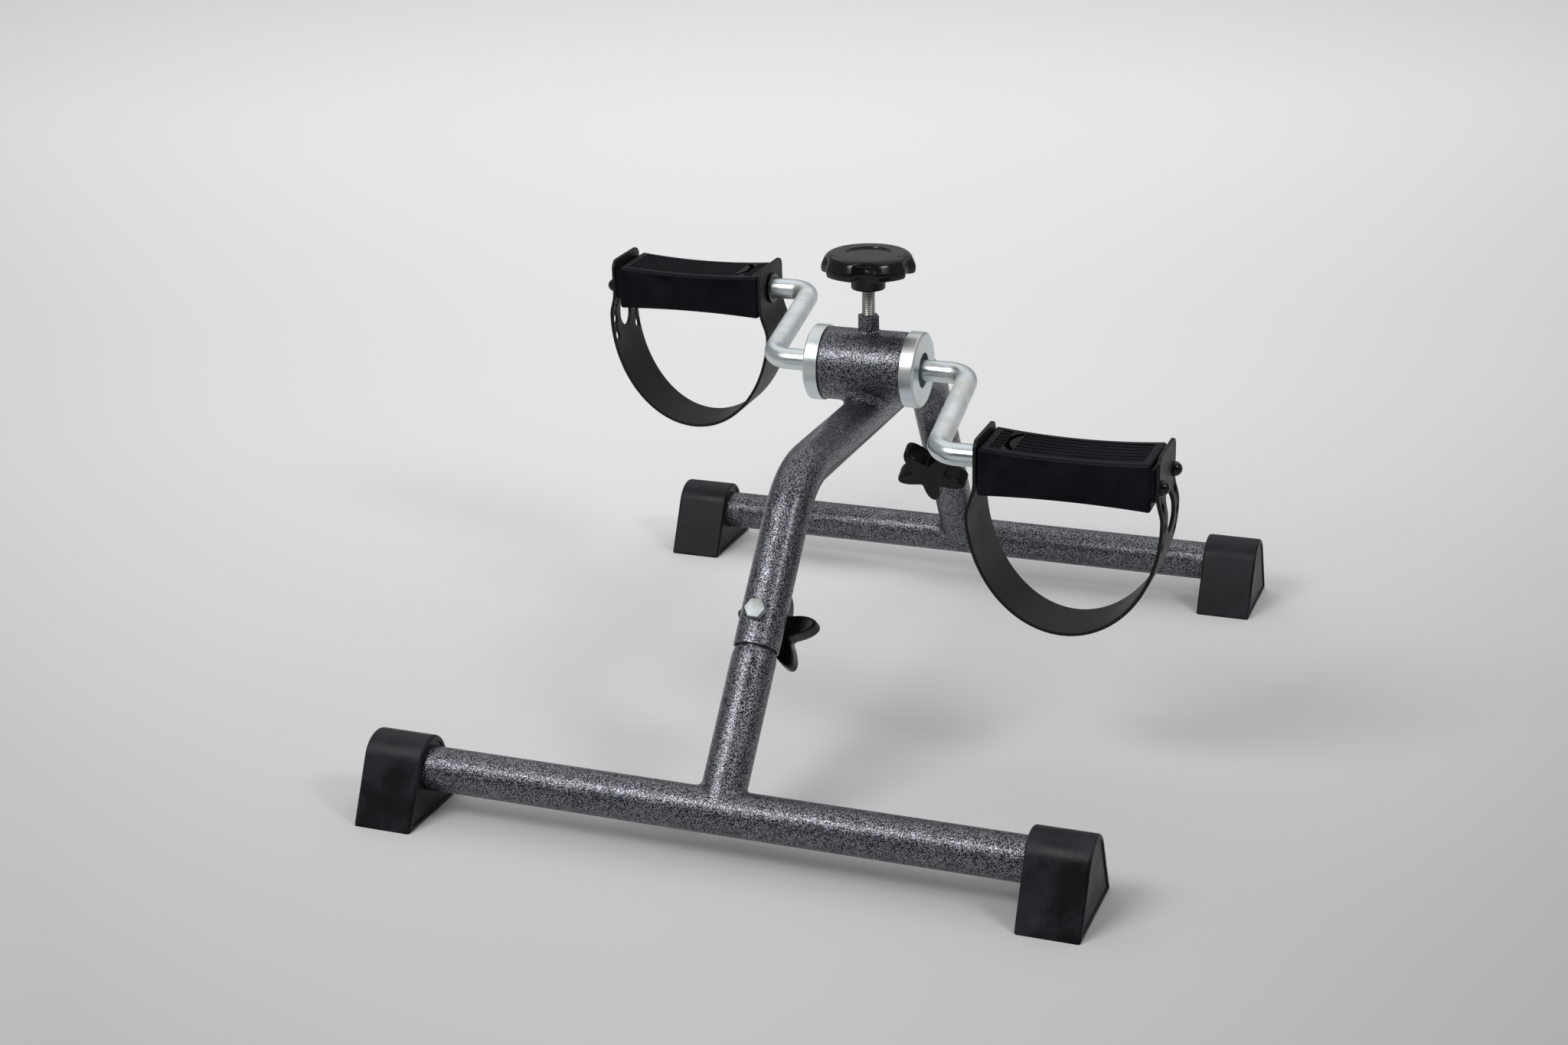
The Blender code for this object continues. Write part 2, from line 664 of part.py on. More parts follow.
# Brake shoe, tension screw and knob, which share the upright axis through the hub

def brake_shoe():
    height = SHOE_TOP
    shoe = boxes("brake_shoe", [((SHOE_LENGTH, SHOE_WIDTH, height), (0, 0, height / 2))])
    cut(shoe, cylinders("shoe_seat", [((-SHOE_LENGTH, 0, 0), (SHOE_LENGTH, 0, 0), SHOE_BOTTOM)]))
    return finish(shoe, NYLON, location=(0, HUB_Y, HUB_HEIGHT))


def tension_screw():
    point = SCREW_RADIUS * SCREW_POINT_SHARE
    profile = [(0, SCREW_TOP), (SCREW_RADIUS, SCREW_TOP), (SCREW_RADIUS, SCREW_TIP + SCREW_RADIUS - point),
               (point, SCREW_TIP), (0, SCREW_TIP)]
    screw = turned("tension_screw", profile, closed=False, sides=TUBE_SIDES)
    return finish(screw, STEEL, location=(0, HUB_Y, HUB_HEIGHT))


def star_outline(turn):
    """Blunt arms of an even width with round valleys between them."""
    outline = []
    for number in range(LOCK_KNOB_POINTS):
        angle = 2 * pi * number / LOCK_KNOB_POINTS
        dip = 0.5 - 0.5 * cos(LOCK_KNOB_ARMS * angle)
        share = (dip - LOCK_KNOB_ARM_START) / (LOCK_KNOB_ARM_STOP - LOCK_KNOB_ARM_START)
        share = min(max(share, 0.0), 1.0)
        depth = (LOCK_KNOB_REACH - LOCK_KNOB_VALLEY) * share * share * (3 - 2 * share)
        radius = LOCK_KNOB_REACH - depth
        outline.append((radius * cos(angle + turn), radius * sin(angle + turn)))
    return outline


def tension_knob():
    knob = turned("tension_knob", knob_profile(), closed=False)
    reach = KNOB_RADIUS - KNOB_SCALLOP + KNOB_SCALLOP_RADIUS
    scallops = []
    for number in range(KNOB_LOBES):
        angle = KNOB_TURN + 2 * pi * number / KNOB_LOBES
        outward = Vector((cos(angle), sin(angle), 0))
        low = outward * reach + Vector((0, 0, KNOB_BOTTOM))
        high = outward * (reach + KNOB_SCALLOP_LEAN) + Vector((0, 0, KNOB_TOP))
        rise = high - low
        scallops.append((low - rise, high + rise, KNOB_SCALLOP_RADIUS))
    cut(knob, cylinders("knob_scallops", scallops, sides=ROUND_SIDES))
    hollow = [((0, 0, COLLAR_BOTTOM - KNOB_HOLLOW), (0, 0, KNOB_BOTTOM + KNOB_HOLLOW),
               KNOB_RADIUS - KNOB_SCALLOP - KNOB_WALL)]
    cut(knob, cylinders("knob_hollow", hollow, sides=ROUND_SIDES))
    collar_top = KNOB_BOTTOM + KNOB_HOLLOW + KNOB_WALL / 2
    join(knob, cylinders("knob_collar", [((0, 0, COLLAR_BOTTOM), (0, 0, collar_top), KNOB_COLLAR_RADIUS)],
                         sides=ROUND_SIDES))
    socket = [((0, 0, COLLAR_BOTTOM - SCREW_RADIUS), (0, 0, SCREW_TOP + FIT), SCREW_RADIUS + FIT)]
    cut(knob, cylinders("knob_socket", socket, sides=SMALL_SIDES))
    recess = [((0, 0, KNOB_TOP - KNOB_RECESS_DEPTH), (0, 0, KNOB_TOP + KNOB_WALL), KNOB_RECESS_RADIUS)]
    cut(knob, cylinders("knob_recess", recess, sides=ROUND_SIDES))
    return finish(knob, KNOB_PLASTIC, location=(0, HUB_Y, HUB_HEIGHT))


def knob_profile():
    """The solid knob's outline: a flat top, a rolled crown, a slight flare and a rolled skirt."""
    quarter = [pi / 2 * step / 4 for step in range(5)]
    crown = [(KNOB_TOP_RADIUS - KNOB_CROWN + KNOB_CROWN * sin(angle), KNOB_TOP - KNOB_CROWN + KNOB_CROWN * cos(angle))
             for angle in quarter]
    middle = KNOB_BOTTOM + KNOB_SKIRT_ROLL
    skirt = [(KNOB_RADIUS - KNOB_SKIRT_ROLL + KNOB_SKIRT_ROLL * cos(angle), middle - KNOB_SKIRT_ROLL * sin(angle))
             for angle in quarter]
    return [(0, KNOB_TOP), *crown, *skirt, (0, KNOB_BOTTOM)]


# Leg locks: the bolt runs along the lock frame's Z, head up and knob below the tube

def lock_bolt(end, frame):
    head_bottom = LOCK_SEAT
    head_top = head_bottom + LOCK_HEAD_HEIGHT
    head = [((0, 0, head_bottom), (0, 0, head_top), LOCK_HEAD_FLATS / sqrt(3))]
    bolt = cylinders(end + "_lock_bolt", head, sides=6)
    soften(bolt, FIT, segments=1)
    shank = cylinders(end + "_shank", [((0, 0, -LOCK_BOLT_END), (0, 0, head_top - LOCK_BOLT_RADIUS / 2),
                                        LOCK_BOLT_RADIUS)], sides=SMALL_SIDES)
    join(bolt, shank)
    return finish(bolt, ZINC, parent=frame)


def lock_washer(end, frame):
    top = -LOCK_SEAT
    bottom = top - LOCK_WASHER_THICKNESS
    profile = [(LOCK_WASHER_RADIUS, top), (LOCK_WASHER_RADIUS, bottom), (LOCK_HOLE, bottom), (LOCK_HOLE, top)]
    return finish(turned(end + "_lock_washer", profile, sides=SMALL_SIDES), ZINC, parent=frame)


def lock_knob(leg, frame):
    end = leg.end
    face = -LOCK_KNOB_FACE
    star_top = face - LOCK_KNOB_BOSS_HEIGHT
    star_bottom = star_top - LOCK_KNOB_THICKNESS
    knob = plate(end + "_lock_knob", star_outline(leg.knob_turn), LOCK_KNOB_THICKNESS)
    apply_transform(knob, Matrix.Translation((0, 0, (star_top + star_bottom) / 2)))
    soften(knob, LOCK_KNOB_EDGE, segments=1)
    boss_bottom = star_top - LOCK_KNOB_THICKNESS / 2
    join(knob, cylinders(end + "_lock_boss", [((0, 0, face), (0, 0, boss_bottom), LOCK_KNOB_BOSS_RADIUS)],
                         sides=ROUND_SIDES))
    cut(knob, cylinders(end + "_lock_socket", [((0, 0, face + LOCK_BOLT_RADIUS),
                                                (0, 0, -LOCK_BOLT_END - FIT), LOCK_HOLE)], sides=SMALL_SIDES))
    return finish(knob, KNOB_PLASTIC, parent=frame)


# Pedals, built about the pin's axis; +X is the outer end

def saddle_fall(x):
    """How far the pedal's curved faces have moved in at a place along its length."""
    return 1 - min((x / PEDAL_END) ** 2, 1.0)


def stretch_cubes(name, sizes_and_centres, cuts, change):
    """Boxes cut across X and then reshaped by a rule for each corner."""
    bm = bmesh.new()
    for size, centre in sizes_and_centres:
        matrix = Matrix.Translation(centre) @ Matrix.Diagonal((*size, 1.0))
        bmesh.ops.create_cube(bm, size=1.0, matrix=matrix)
    along = [edge for edge in bm.edges if abs(edge.verts[0].co.x - edge.verts[1].co.x) > FIT]
    if cuts:
        bmesh.ops.subdivide_edges(bm, edges=along, cuts=cuts, use_grid_fill=True)
    for corner in bm.verts:
        change(corner.co)
    return from_bmesh(bm, name)


def shape_block(point):
    fall = saddle_fall(point.x)
    if point.z > -PEDAL_DROP:
        point.z -= PEDAL_DIP * fall
    else:
        point.z += PEDAL_BOW * fall
    point.y -= (PEDAL_WAIST if point.y > 0 else -PEDAL_WAIST) * fall


def follow_top(point):
    point.z -= PEDAL_DIP * saddle_fall(point.x)


def tread_grooves(name):
    """Lengthwise grooves that leave the ribs, with a short row at the inner end."""
    count = TREAD_RIBS - 1
    width = PEDAL_DEPTH - 2 * TREAD_BORDER
    pitch = width / TREAD_RIBS
    height = 2 * TREAD_GROOVE_DEPTH
    short_start = -PEDAL_END + TREAD_END
    long_start = short_start + TREAD_SHORT + TREAD_LAND
    long_end = PEDAL_END - TREAD_END
    rows = []
    for start, end, cuts in ((short_start, short_start + TREAD_SHORT, 0), (long_start, long_end, 3)):
        size = (end - start, TREAD_GROOVE_WIDTH, height)
        grooves = [(size, ((start + end) / 2, (number - (count - 1) / 2) * pitch, PEDAL_TOP))
                   for number in range(count)]
        rows.append(stretch_cubes(f"{name}_{cuts}", grooves, cuts, follow_top))
    return rows


def crescent(name):
    """The curved slot between the short grooves and the long ones."""
    half = CRESCENT_LENGTH / 2
    radius = (half ** 2 + CRESCENT_BULGE ** 2) / (2 * CRESCENT_BULGE)
    sweep = asin(half / radius)
    middle = -PEDAL_END + TREAD_END + TREAD_SHORT + TREAD_LAND / 2
    centre = (middle + radius - CRESCENT_BULGE / 2, 0)
    outer = arc(centre, radius + CRESCENT_WIDTH / 2, pi - sweep, pi + sweep, 10)
    inner = arc(centre, radius - CRESCENT_WIDTH / 2, pi + sweep, pi - sweep, 10)
    slot = plate(name, outer + inner, 2 * CRESCENT_DEPTH)
    return apply_transform(slot, Matrix.Translation((0, 0, PEDAL_TOP)))


def under_pockets(name):
    """Open pockets in the underside, on both sides of the axle's barrel."""
    inner = AXLE_BARREL_RADIUS
    outer = PEDAL_DEPTH / 2 - PEDAL_WAIST - UNDER_WALL
    length = (PEDAL_LENGTH - 2 * SLEEVE_DEPTH - UNDER_WALL * (UNDER_POCKETS - 1)) / UNDER_POCKETS
    pockets = []
    for number in range(UNDER_POCKETS):
        x = (number - (UNDER_POCKETS - 1) / 2) * (length + UNDER_WALL)
        for side in (-1, 1):
            pockets.append(((length, outer - inner, 2 * UNDER_POCKET_DEPTH),
                            (x, side * (inner + outer) / 2, PEDAL_BOTTOM)))
    return boxes(name, pockets)


def pedal_block(side, axis):
    block = stretch_cubes("pedal_block_" + side,
                          [((PEDAL_LENGTH, PEDAL_DEPTH, PEDAL_THICKNESS), (0, 0, -PEDAL_DROP))], 7, shape_block)
    soften(block, PEDAL_EDGE, segments=2, angle=radians(50))
    pad_size = (2 * END_PAD_THICKNESS, END_PAD_DEPTH, END_PAD_HEIGHT)
    join(block, boxes(side + "_end_pad", [(pad_size, (PEDAL_END, 0, 0))]))
    for row in tread_grooves(side + "_grooves"):
        cut(block, row)
    cut(block, crescent(side + "_crescent"))
    cut(block, under_pockets(side + "_under_pockets"))
    cut(block, cylinders(side + "_pin_bore", [((-PEDAL_LENGTH, 0, 0), (PEDAL_LENGTH, 0, 0), PIN_RADIUS + FIT)],
                         sides=ROUND_SIDES))
    inner_bore = ((-PEDAL_LENGTH, 0, 0), (-PEDAL_END + SLEEVE_DEPTH, 0, 0), SLEEVE_BARREL_RADIUS + FIT)
    outer_bore = ((PEDAL_END - RETAINER_POCKET_DEPTH, 0, 0), (PEDAL_LENGTH, 0, 0), RETAINER_RADIUS + FIT)
    cut(block, cylinders(side + "_counterbores", [inner_bore, outer_bore], sides=ROUND_SIDES))
    roots = [((PAD_END - STUD_ROOT - FIT, y, STUD_HEIGHT), (PEDAL_LENGTH, y, STUD_HEIGHT),
              STUD_STEM_RADIUS + FIT) for y in (-STUD_OFFSET, STUD_OFFSET)]
    cut(block, cylinders(side + "_stud_holes", roots, sides=SMALL_SIDES))
    return finish(block, PEDAL_PLASTIC, parent=axis)


def pedal_sleeve(side, axis):
    """The flanged bush that the crank's pin turns in, pushed through the strap's tab."""
    face = SLEEVE_SEAT + SLEEVE_FLANGE_WIDTH
    inner = PEDAL_END - SLEEVE_DEPTH + FIT
    profile = [(SLEEVE_FLANGE_RADIUS, face), (SLEEVE_FLANGE_RADIUS, SLEEVE_SEAT),
               (SLEEVE_BARREL_RADIUS, SLEEVE_SEAT), (SLEEVE_BARREL_RADIUS, inner),
               (ROD_RADIUS + FIT, inner), (ROD_RADIUS + FIT, face)]
    sleeve = turned("pedal_sleeve_" + side, profile, sides=ROUND_SIDES)
    apply_transform(sleeve, Matrix.Rotation(pi, 4, "Z") @ TO_X)
    return finish(sleeve, KNOB_PLASTIC, parent=axis)


def pin_retainer(side, crank_axis, way, turn):
    """The push-on nut that grips the crank's pin inside the pedal's outer end."""
    far = RETAINER_SEAT + RETAINER_THICKNESS
    profile = [(RETAINER_RADIUS, far), (RETAINER_RADIUS, RETAINER_SEAT), (PIN_RADIUS + FIT, RETAINER_SEAT),
               (PIN_RADIUS + FIT, far)]
    retainer = apply_transform(turned("pin_retainer_" + side, profile, sides=SMALL_SIDES), TO_X)
    return finish(retainer, ZINC, parent=crank_axis,
                  location=(PEDAL_CENTRE_X * way, -CRANK_LENGTH * way, 0), rotation=(0, 0, turn))


def strap_place(u):
    """Middle line and width of the strap; u runs from -1 at one tip to 1 at the other."""
    depth = STRAP_DROP - STRAP_THICKNESS / 2 - STRAP_SPRING
    arc_run = pi / 2 * sqrt((STRAP_BULGE ** 2 + depth ** 2) / 2)
    total = arc_run + STRAP_SPRING + STRAP_TAB_RISE
    run = abs(u) * total
    if run < arc_run:
        share = run / arc_run
        x = STRAP_BULGE * sin(share * pi / 2)
        z = -STRAP_SPRING - depth * cos(share * pi / 2)
        width = STRAP_MIDDLE_WIDTH + (STRAP_END_WIDTH - STRAP_MIDDLE_WIDTH) * (0.5 - 0.5 * cos(share * pi))
    else:
        z = run - arc_run - STRAP_SPRING
        tab, tab_start = (OUTER_TAB, STRAP_TAB_START) if u > 0 else (INNER_TAB, SLEEVE_FLANGE_RADIUS + STRAP_THICKNESS)
        share = min((z + STRAP_SPRING) / (STRAP_SPRING - tab_start), 1.0)
        x = STRAP_BULGE + (tab - STRAP_BULGE) * (0.5 - 0.5 * cos(share * pi))
        past = min(max(z - STRAP_TAB_RISE + STRAP_TAB_CORNER, 0.0), STRAP_TAB_CORNER)
        width = STRAP_END_WIDTH - 2 * (STRAP_TAB_CORNER - sqrt(STRAP_TAB_CORNER ** 2 - past ** 2))
    return (x if u > 0 else -x), z, width


def pedal_strap(side, axis):
    bm = bmesh.new()
    bmesh.ops.create_grid(bm, x_segments=STRAP_STEPS, y_segments=2, size=1.0)
    for corner in bm.verts:
        x, z, width = strap_place(corner.co.x)
        corner.co = (x, corner.co.y * width / 2, z)
    strap = from_bmesh(bm, "pedal_strap_" + side)
    solid = strap.modifiers.new("Thickness", "SOLIDIFY")
    solid.thickness = STRAP_THICKNESS
    solid.offset = 0.0
    near, far = PEDAL_END - STRAP_THICKNESS, STRAP_BULGE + 2 * STRAP_THICKNESS
    cut(strap, cylinders(side + "_strap_bore", [((-far, 0, 0), (-near, 0, 0), SLEEVE_BARREL_RADIUS + FIT)],
                         sides=ROUND_SIDES))
    holes, slits = [], []
    for y in (-STUD_OFFSET, STUD_OFFSET):
        for number in range(HOLE_COUNT):
            z = STUD_HEIGHT - number * HOLE_PITCH
            holes.append(((near, y, z), (far, y, z), HOLE_RADIUS))
        run = (HOLE_COUNT - 1) * HOLE_PITCH
        slits.append(((far - near, SLIT_WIDTH, run), ((near + far) / 2, y, STUD_HEIGHT - run / 2)))
    cut(strap, cylinders(side + "_strap_holes", holes, sides=SMALL_SIDES))
    cut(strap, boxes(side + "_strap_slits", slits))
    cut(strap, strap_slot(side + "_strap_slot", near, far))
    return finish(strap, STRAP_PLASTIC, parent=axis)


def strap_slot(name, near, far):
    """The long round-ended slot between the two rows of holes."""
    radius = SLOT_WIDTH / 2
    bottom = arc((0, -SLOT_BOTTOM + radius), radius, -pi, 0, 8)
    top = arc((0, -SLOT_TOP - radius), radius, 0, pi, 8)
    slot = plate(name, bottom + top, far - near)
    stand = Matrix(((0, 0, 1, (near + far) / 2), (1, 0, 0, 0), (0, 1, 0, 0), (0, 0, 0, 1)))
    return apply_transform(slot, stand)


def strap_stud(place, side, axis, y):
    """A mushroom stud that the strap's holes snap over."""
    head = STUD_SEAT
    root = PAD_END - STUD_ROOT
    crown = [(STUD_HEAD_RADIUS * sin(angle), head + STUD_HEAD_HEIGHT * cos(angle))
             for angle in (pi / 2 * step / 5 for step in range(6))]
    profile = [*crown, (STUD_STEM_RADIUS, head), (STUD_STEM_RADIUS, root), (0, root)]
    stud = turned(f"strap_stud_{place}_{side}", profile, closed=False, sides=SMALL_SIDES)
    apply_transform(stud, Matrix.Translation((0, y, STUD_HEIGHT)) @ TO_X)
    return finish(stud, KNOB_PLASTIC, parent=axis)


# Assembly

def build():
    for leg in LEGS:
        cross_bar(leg)
        y = -HALF_SPACING * cos(leg.turn)
        for side, side_turn in SIDES:
            foot("foot_" + leg.end + "_" + side, y, side_turn)
        lock_frame = axis_empty(leg.end + "_lock_axis", location=leg_point(leg, leg.stub_length + LOCK_ABOVE_SEAM),
                                rotation=(pi / 2 - leg.lean, 0, leg.turn))
        lock_bolt(leg.end, lock_frame)
        lock_washer(leg.end, lock_frame)
        lock_knob(leg, lock_frame)
    upper_frame_tube()
    hub_shell()
    tension_boss()
    crank_axis = axis_empty("crank_axis", location=(0, HUB_Y, HUB_HEIGHT), rotation=(CRANK_ANGLE, 0, 0))
    crank_rod(crank_axis)
    brake_drum(crank_axis)
    brake_shoe()
    tension_screw()
    tension_knob()
    for side, turn in SIDES:
        hub_cap(side, turn)
        axle_bush(side, turn)
        way = 1 if side == "right" else -1
        lean = (PEDAL_TILT - CRANK_ANGLE) * way
        axis = axis_empty("pedal_axis_" + side, parent=crank_axis,
                          location=(PEDAL_CENTRE_X * way, -CRANK_LENGTH * way, 0), rotation=(lean, 0, turn))
        pedal_block(side, axis)
        pedal_strap(side, axis)
        pedal_sleeve(side, axis)
        pin_retainer(side, crank_axis, way, turn)
        strap_stud("first", side, axis, -STUD_OFFSET)
        strap_stud("second", side, axis, STUD_OFFSET)


build()
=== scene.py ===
# %% [markdown]
# This script dresses a small pedal exerciser: a low bent frame on two cross bars, a cranked
# axle in a hub with a brake knob, and two block pedals with foot straps. Its solids come
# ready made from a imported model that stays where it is. Here each of them gets a finely
# modelled piece on the same spot, a finish, and at the end a floor, lamps and a camera.

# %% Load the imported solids
from math import acos, asin, atan2, cos, hypot, pi, radians, sin, sqrt, tan

import bmesh
import bpy
from mathutils import Matrix, Vector


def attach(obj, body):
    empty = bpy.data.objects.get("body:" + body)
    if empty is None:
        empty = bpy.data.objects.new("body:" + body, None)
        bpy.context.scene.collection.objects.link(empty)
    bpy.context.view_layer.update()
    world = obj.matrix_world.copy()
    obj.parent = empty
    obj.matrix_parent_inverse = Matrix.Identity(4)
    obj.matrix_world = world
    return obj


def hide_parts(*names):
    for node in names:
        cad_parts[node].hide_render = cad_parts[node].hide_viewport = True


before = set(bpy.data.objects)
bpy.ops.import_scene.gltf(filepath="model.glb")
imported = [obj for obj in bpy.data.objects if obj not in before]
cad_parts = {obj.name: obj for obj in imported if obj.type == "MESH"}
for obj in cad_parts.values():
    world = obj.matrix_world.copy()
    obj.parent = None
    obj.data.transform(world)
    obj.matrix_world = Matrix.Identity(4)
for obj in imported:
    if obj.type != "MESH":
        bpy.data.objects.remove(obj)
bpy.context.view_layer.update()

# %% [markdown]
# Every number below is in metres, in the same frame as the solids. The first ones are the
# sizes that several pieces share, such as the clearance between parts that touch.

# %% Sizes that several pieces share
FIT = 0.0003
BAR_SPACING = 0.4554
BAR_HEIGHT = 0.0265
TUBE_RADIUS = 0.0125
HUB_Y = 0.0265
TOP_RUN_HEIGHT = 0.1764
HUB_RISE = 0.0282
HUB_HEIGHT = TOP_RUN_HEIGHT + HUB_RISE
HUB_RADIUS = 0.022
UPPER_TUBE_RADIUS = 0.01285
SIDES = {"right": 0.0, "left": pi}
TO_X = Matrix.Rotation(pi / 2, 4, "Y")
AT_HUB = Matrix.Translation((0, HUB_Y, HUB_HEIGHT))

# %% [markdown]
# Shaders and Geometry Nodes are both webs of small nodes. Wiring them by hand is long, so one
# class stands for a node's output and takes part in ordinary Python sums, and another one
# adds any node from its type, its settings and what goes into its sockets.


# %% Write node webs as Python sums
class Signal:
    """One output of a node."""

    def __init__(self, board, socket):
        self.board = board
        self.socket = socket

    def __add__(self, other):
        return self.board.math("ADD", self, other)

    def __sub__(self, other):
        return self.board.math("SUBTRACT", self, other)

    def __rsub__(self, other):
        return self.board.math("SUBTRACT", other, self)

    def __mul__(self, other):
        return self.board.math("MULTIPLY", self, other)

    def __truediv__(self, other):
        return self.board.math("DIVIDE", self, other)

    def __rtruediv__(self, other):
        return self.board.math("DIVIDE", other, self)

    def __pow__(self, other):
        return self.board.math("POWER", self, other)

    __radd__ = __add__
    __rmul__ = __mul__


class Board:
    """A node tree that is being written."""

    def __init__(self, tree):
        self.tree = tree

    def add(self, kind, settings=None, values=(), output=0):
        node = self.tree.nodes.new(kind)
        for name, value in (settings or {}).items():
            setattr(node, name, value)
        for key, value in values.items() if isinstance(values, dict) else enumerate(values):
            if isinstance(value, Signal):
                self.tree.links.new(value.socket, node.inputs[key])
            elif value is not None:
                node.inputs[key].default_value = value
        return Signal(self, node.outputs[output])

    def math(self, operation, *values):
        return self.add("ShaderNodeMath", {"operation": operation}, values)

    def split(self, vector):
        node = self.add("ShaderNodeSeparateXYZ", values=[vector])
        return [Signal(self, socket) for socket in node.socket.node.outputs]

    def join(self, x, y, z):
        return self.add("ShaderNodeCombineXYZ", values=[x, y, z])

    def ease(self, value, low, high, start=0.0, stop=1.0):
        """Rise smoothly from start to stop while the value goes from low to high."""
        return self.add("ShaderNodeMapRange", {"interpolation_type": "SMOOTHSTEP"},
                        [value, low, high, start, stop])

    def noise(self, place, scale, detail=2.0, roughness=0.5, distortion=0.0):
        return self.add("ShaderNodeTexNoise", values={"Vector": place, "Scale": scale, "Detail": detail,
                                                      "Roughness": roughness, "Distortion": distortion})

    def blend(self, share, first, second):
        """Mix two colours by a share from 0 to 1."""
        return self.add("ShaderNodeMix", {"data_type": "RGBA"},
                        {0: share, 6: opaque(first), 7: opaque(second)}, output=2)

    def shift(self, geometry, x, y, z):
        """Move each point of a mesh by its own offset."""
        return self.add("GeometryNodeSetPosition",
                        values={"Geometry": geometry, "Offset": self.join(x, y, z)})


def opaque(colour):
    return colour if isinstance(colour, Signal) else (*colour, 1.0)


# %% [markdown]
# A finish is one Principled shader. What changes over the surface, such as grain or speckle,
# is worked out from Object coordinates: all pieces keep their object at the origin, so one
# grain runs at the same true scale over all of them. Constant values sit on the shader.


# %% Start and close a finish
def start_finish(name):
    material = bpy.data.materials.new(name)
    material.use_nodes = True
    material.node_tree.nodes.clear()
    board = Board(material.node_tree)
    place = board.add("ShaderNodeTexCoord", output="Object")
    return material, board, place


def bumped(board, height, distance):
    return board.add("ShaderNodeBump", values={"Height": height, "Distance": distance})


def close_finish(material, board, values):
    shader = board.add("ShaderNodeBsdfPrincipled", values=values)
    output = board.tree.nodes.new("ShaderNodeOutputMaterial")
    board.tree.links.new(shader.socket, output.inputs["Surface"])
    print("finish:", material.name, len(board.tree.nodes), "nodes")
    return material


# %% [markdown]
# The frame has a silver-vein paint: black enamel in which aluminium flakes have drawn
# together into a squiggly net, finer than a millimetre. Noise with some distortion gives
# the squiggles, an eased threshold turns it into a net, and a slower noise thins the net in
# places. The silver part is metallic, and a thin clear layer over all of it gives the
# soft line of light along the tubes.


# %% Silver-vein paint
def silver_vein_paint():
    material, board, place = start_finish("silver_vein_paint")
    grain = board.noise(place, 1450.0, 1.0, 0.5, 0.75)
    drift = board.noise(place, 150.0, 1.0)
    net = board.ease(grain + (drift - 0.5) * 0.08, 0.50, 0.56)
    enamel, flake = (0.002, 0.0022, 0.0032), (0.28, 0.295, 0.33)
    return close_finish(material, board, {
        "Base Color": board.blend(net, enamel, flake),
        "Metallic": net,
        "Roughness": 0.40 - net * 0.06,
        "Coat Weight": 0.35,
        "Coat Roughness": 0.22,
        "Specular IOR Level": 0.15,
        "Normal": bumped(board, grain, 0.00026),
    })


PAINT = silver_vein_paint()

# %% [markdown]
# The crank, the caps and the bolts are plated with bright zinc: a bluish white metal whose
# reflections are soft and slightly cloudy, with a faint straw tint here and there. The caps
# are turned on a lathe, so their faces also carry fine rings about the axle. The crank's
# arms have a pale haze, which goes by a point's distance from the axle, and the leg bolts are
# duller than the rest. The bolts' zinc is also given a darker colour, as painted shade against
# the lamp that their heads face.


# %% Zinc plating, plain and turned
def cloudy_zinc(name, ring_share, gloss, arm_haze=0.0, straw=(0.72, 0.735, 0.70), blue=(0.66, 0.72, 0.745)):
    material, board, place = start_finish(name)
    cloud = board.noise(place, 70.0, 3.0, 0.6)
    speck = board.noise(place, 900.0, 2.0, 0.6)
    centred = board.add("ShaderNodeMapping", values={"Vector": place, "Location": (0, -HUB_Y, -HUB_HEIGHT)})
    x, y, z = board.split(centred)
    radius = board.math("SQRT", y * y + z * z)
    rings = board.noise(board.join(radius, x * 0.35, 0.0), 5200.0, 1.0)
    height = speck * (1 - ring_share) + rings * ring_share
    arm = board.ease(radius, 0.006, 0.020) * board.ease(radius, 0.086, 0.100, 1.0, 0.0)
    tint = board.blend(board.ease(cloud, 0.42, 0.70), blue, straw)
    haze = board.blend(board.ease(cloud, 0.40, 0.62), (0.88, 0.915, 0.93), (0.74, 0.755, 0.72))
    return close_finish(material, board, {
        "Base Color": board.blend(arm * arm_haze * 2.4, tint, haze),
        "Metallic": 1.0,
        "Roughness": board.ease(cloud, 0.3, 0.7, *gloss) + speck * 0.04 + arm * arm_haze,
        "Normal": bumped(board, height, 0.00001 + 0.00005 * ring_share),
    })


ZINC = cloudy_zinc("bright_zinc", 0.0, (0.28, 0.42))
ROD_ZINC = cloudy_zinc("rod_zinc", 0.0, (0.22, 0.34), 0.32)
TURNED_ZINC = cloudy_zinc("turned_zinc", 1.0, (0.28, 0.38))
# Painted shade: the leg bolts' zinc gets a darker colour against the lamp that their heads face; its higher
# roughness is a real duller finish.
DULL_ZINC_WITH_PAINTED_SHADE = cloudy_zinc("dull_zinc_with_painted_shade", 0.0, (0.56, 0.68), straw=(0.36, 0.37, 0.36), blue=(0.46, 0.49, 0.50))

# %% [markdown]
# The brake screw is bare steel, a warmer and darker grey than the zinc. One noise moves its
# colour, its gloss and its faint relief.


# %% Bare screw steel
def screw_steel():
    material, board, place = start_finish("screw_steel")
    stain = board.noise(place, 160.0, 3.0, 0.6)
    return close_finish(material, board, {
        "Base Color": board.blend(stain, (0.36, 0.35, 0.33), (0.50, 0.49, 0.47)),
        "Metallic": 1.0,
        "Roughness": board.ease(stain, 0.3, 0.7, 0.30, 0.44),
        "Normal": bumped(board, stain, 0.00004),
    })


STEEL = screw_steel()

# %% [markdown]
# The black plastics differ mostly in gloss. The brake knob is polished, the star knobs and
# the pedals are satin with a fine moulded grain, the straps are a soft flexible plastic and
# the feet are rubber with a bluish bloom. One recipe makes all of them: a grain for the bump
# and a slow cloud that varies the gloss and lets a little dust lighten the colour.


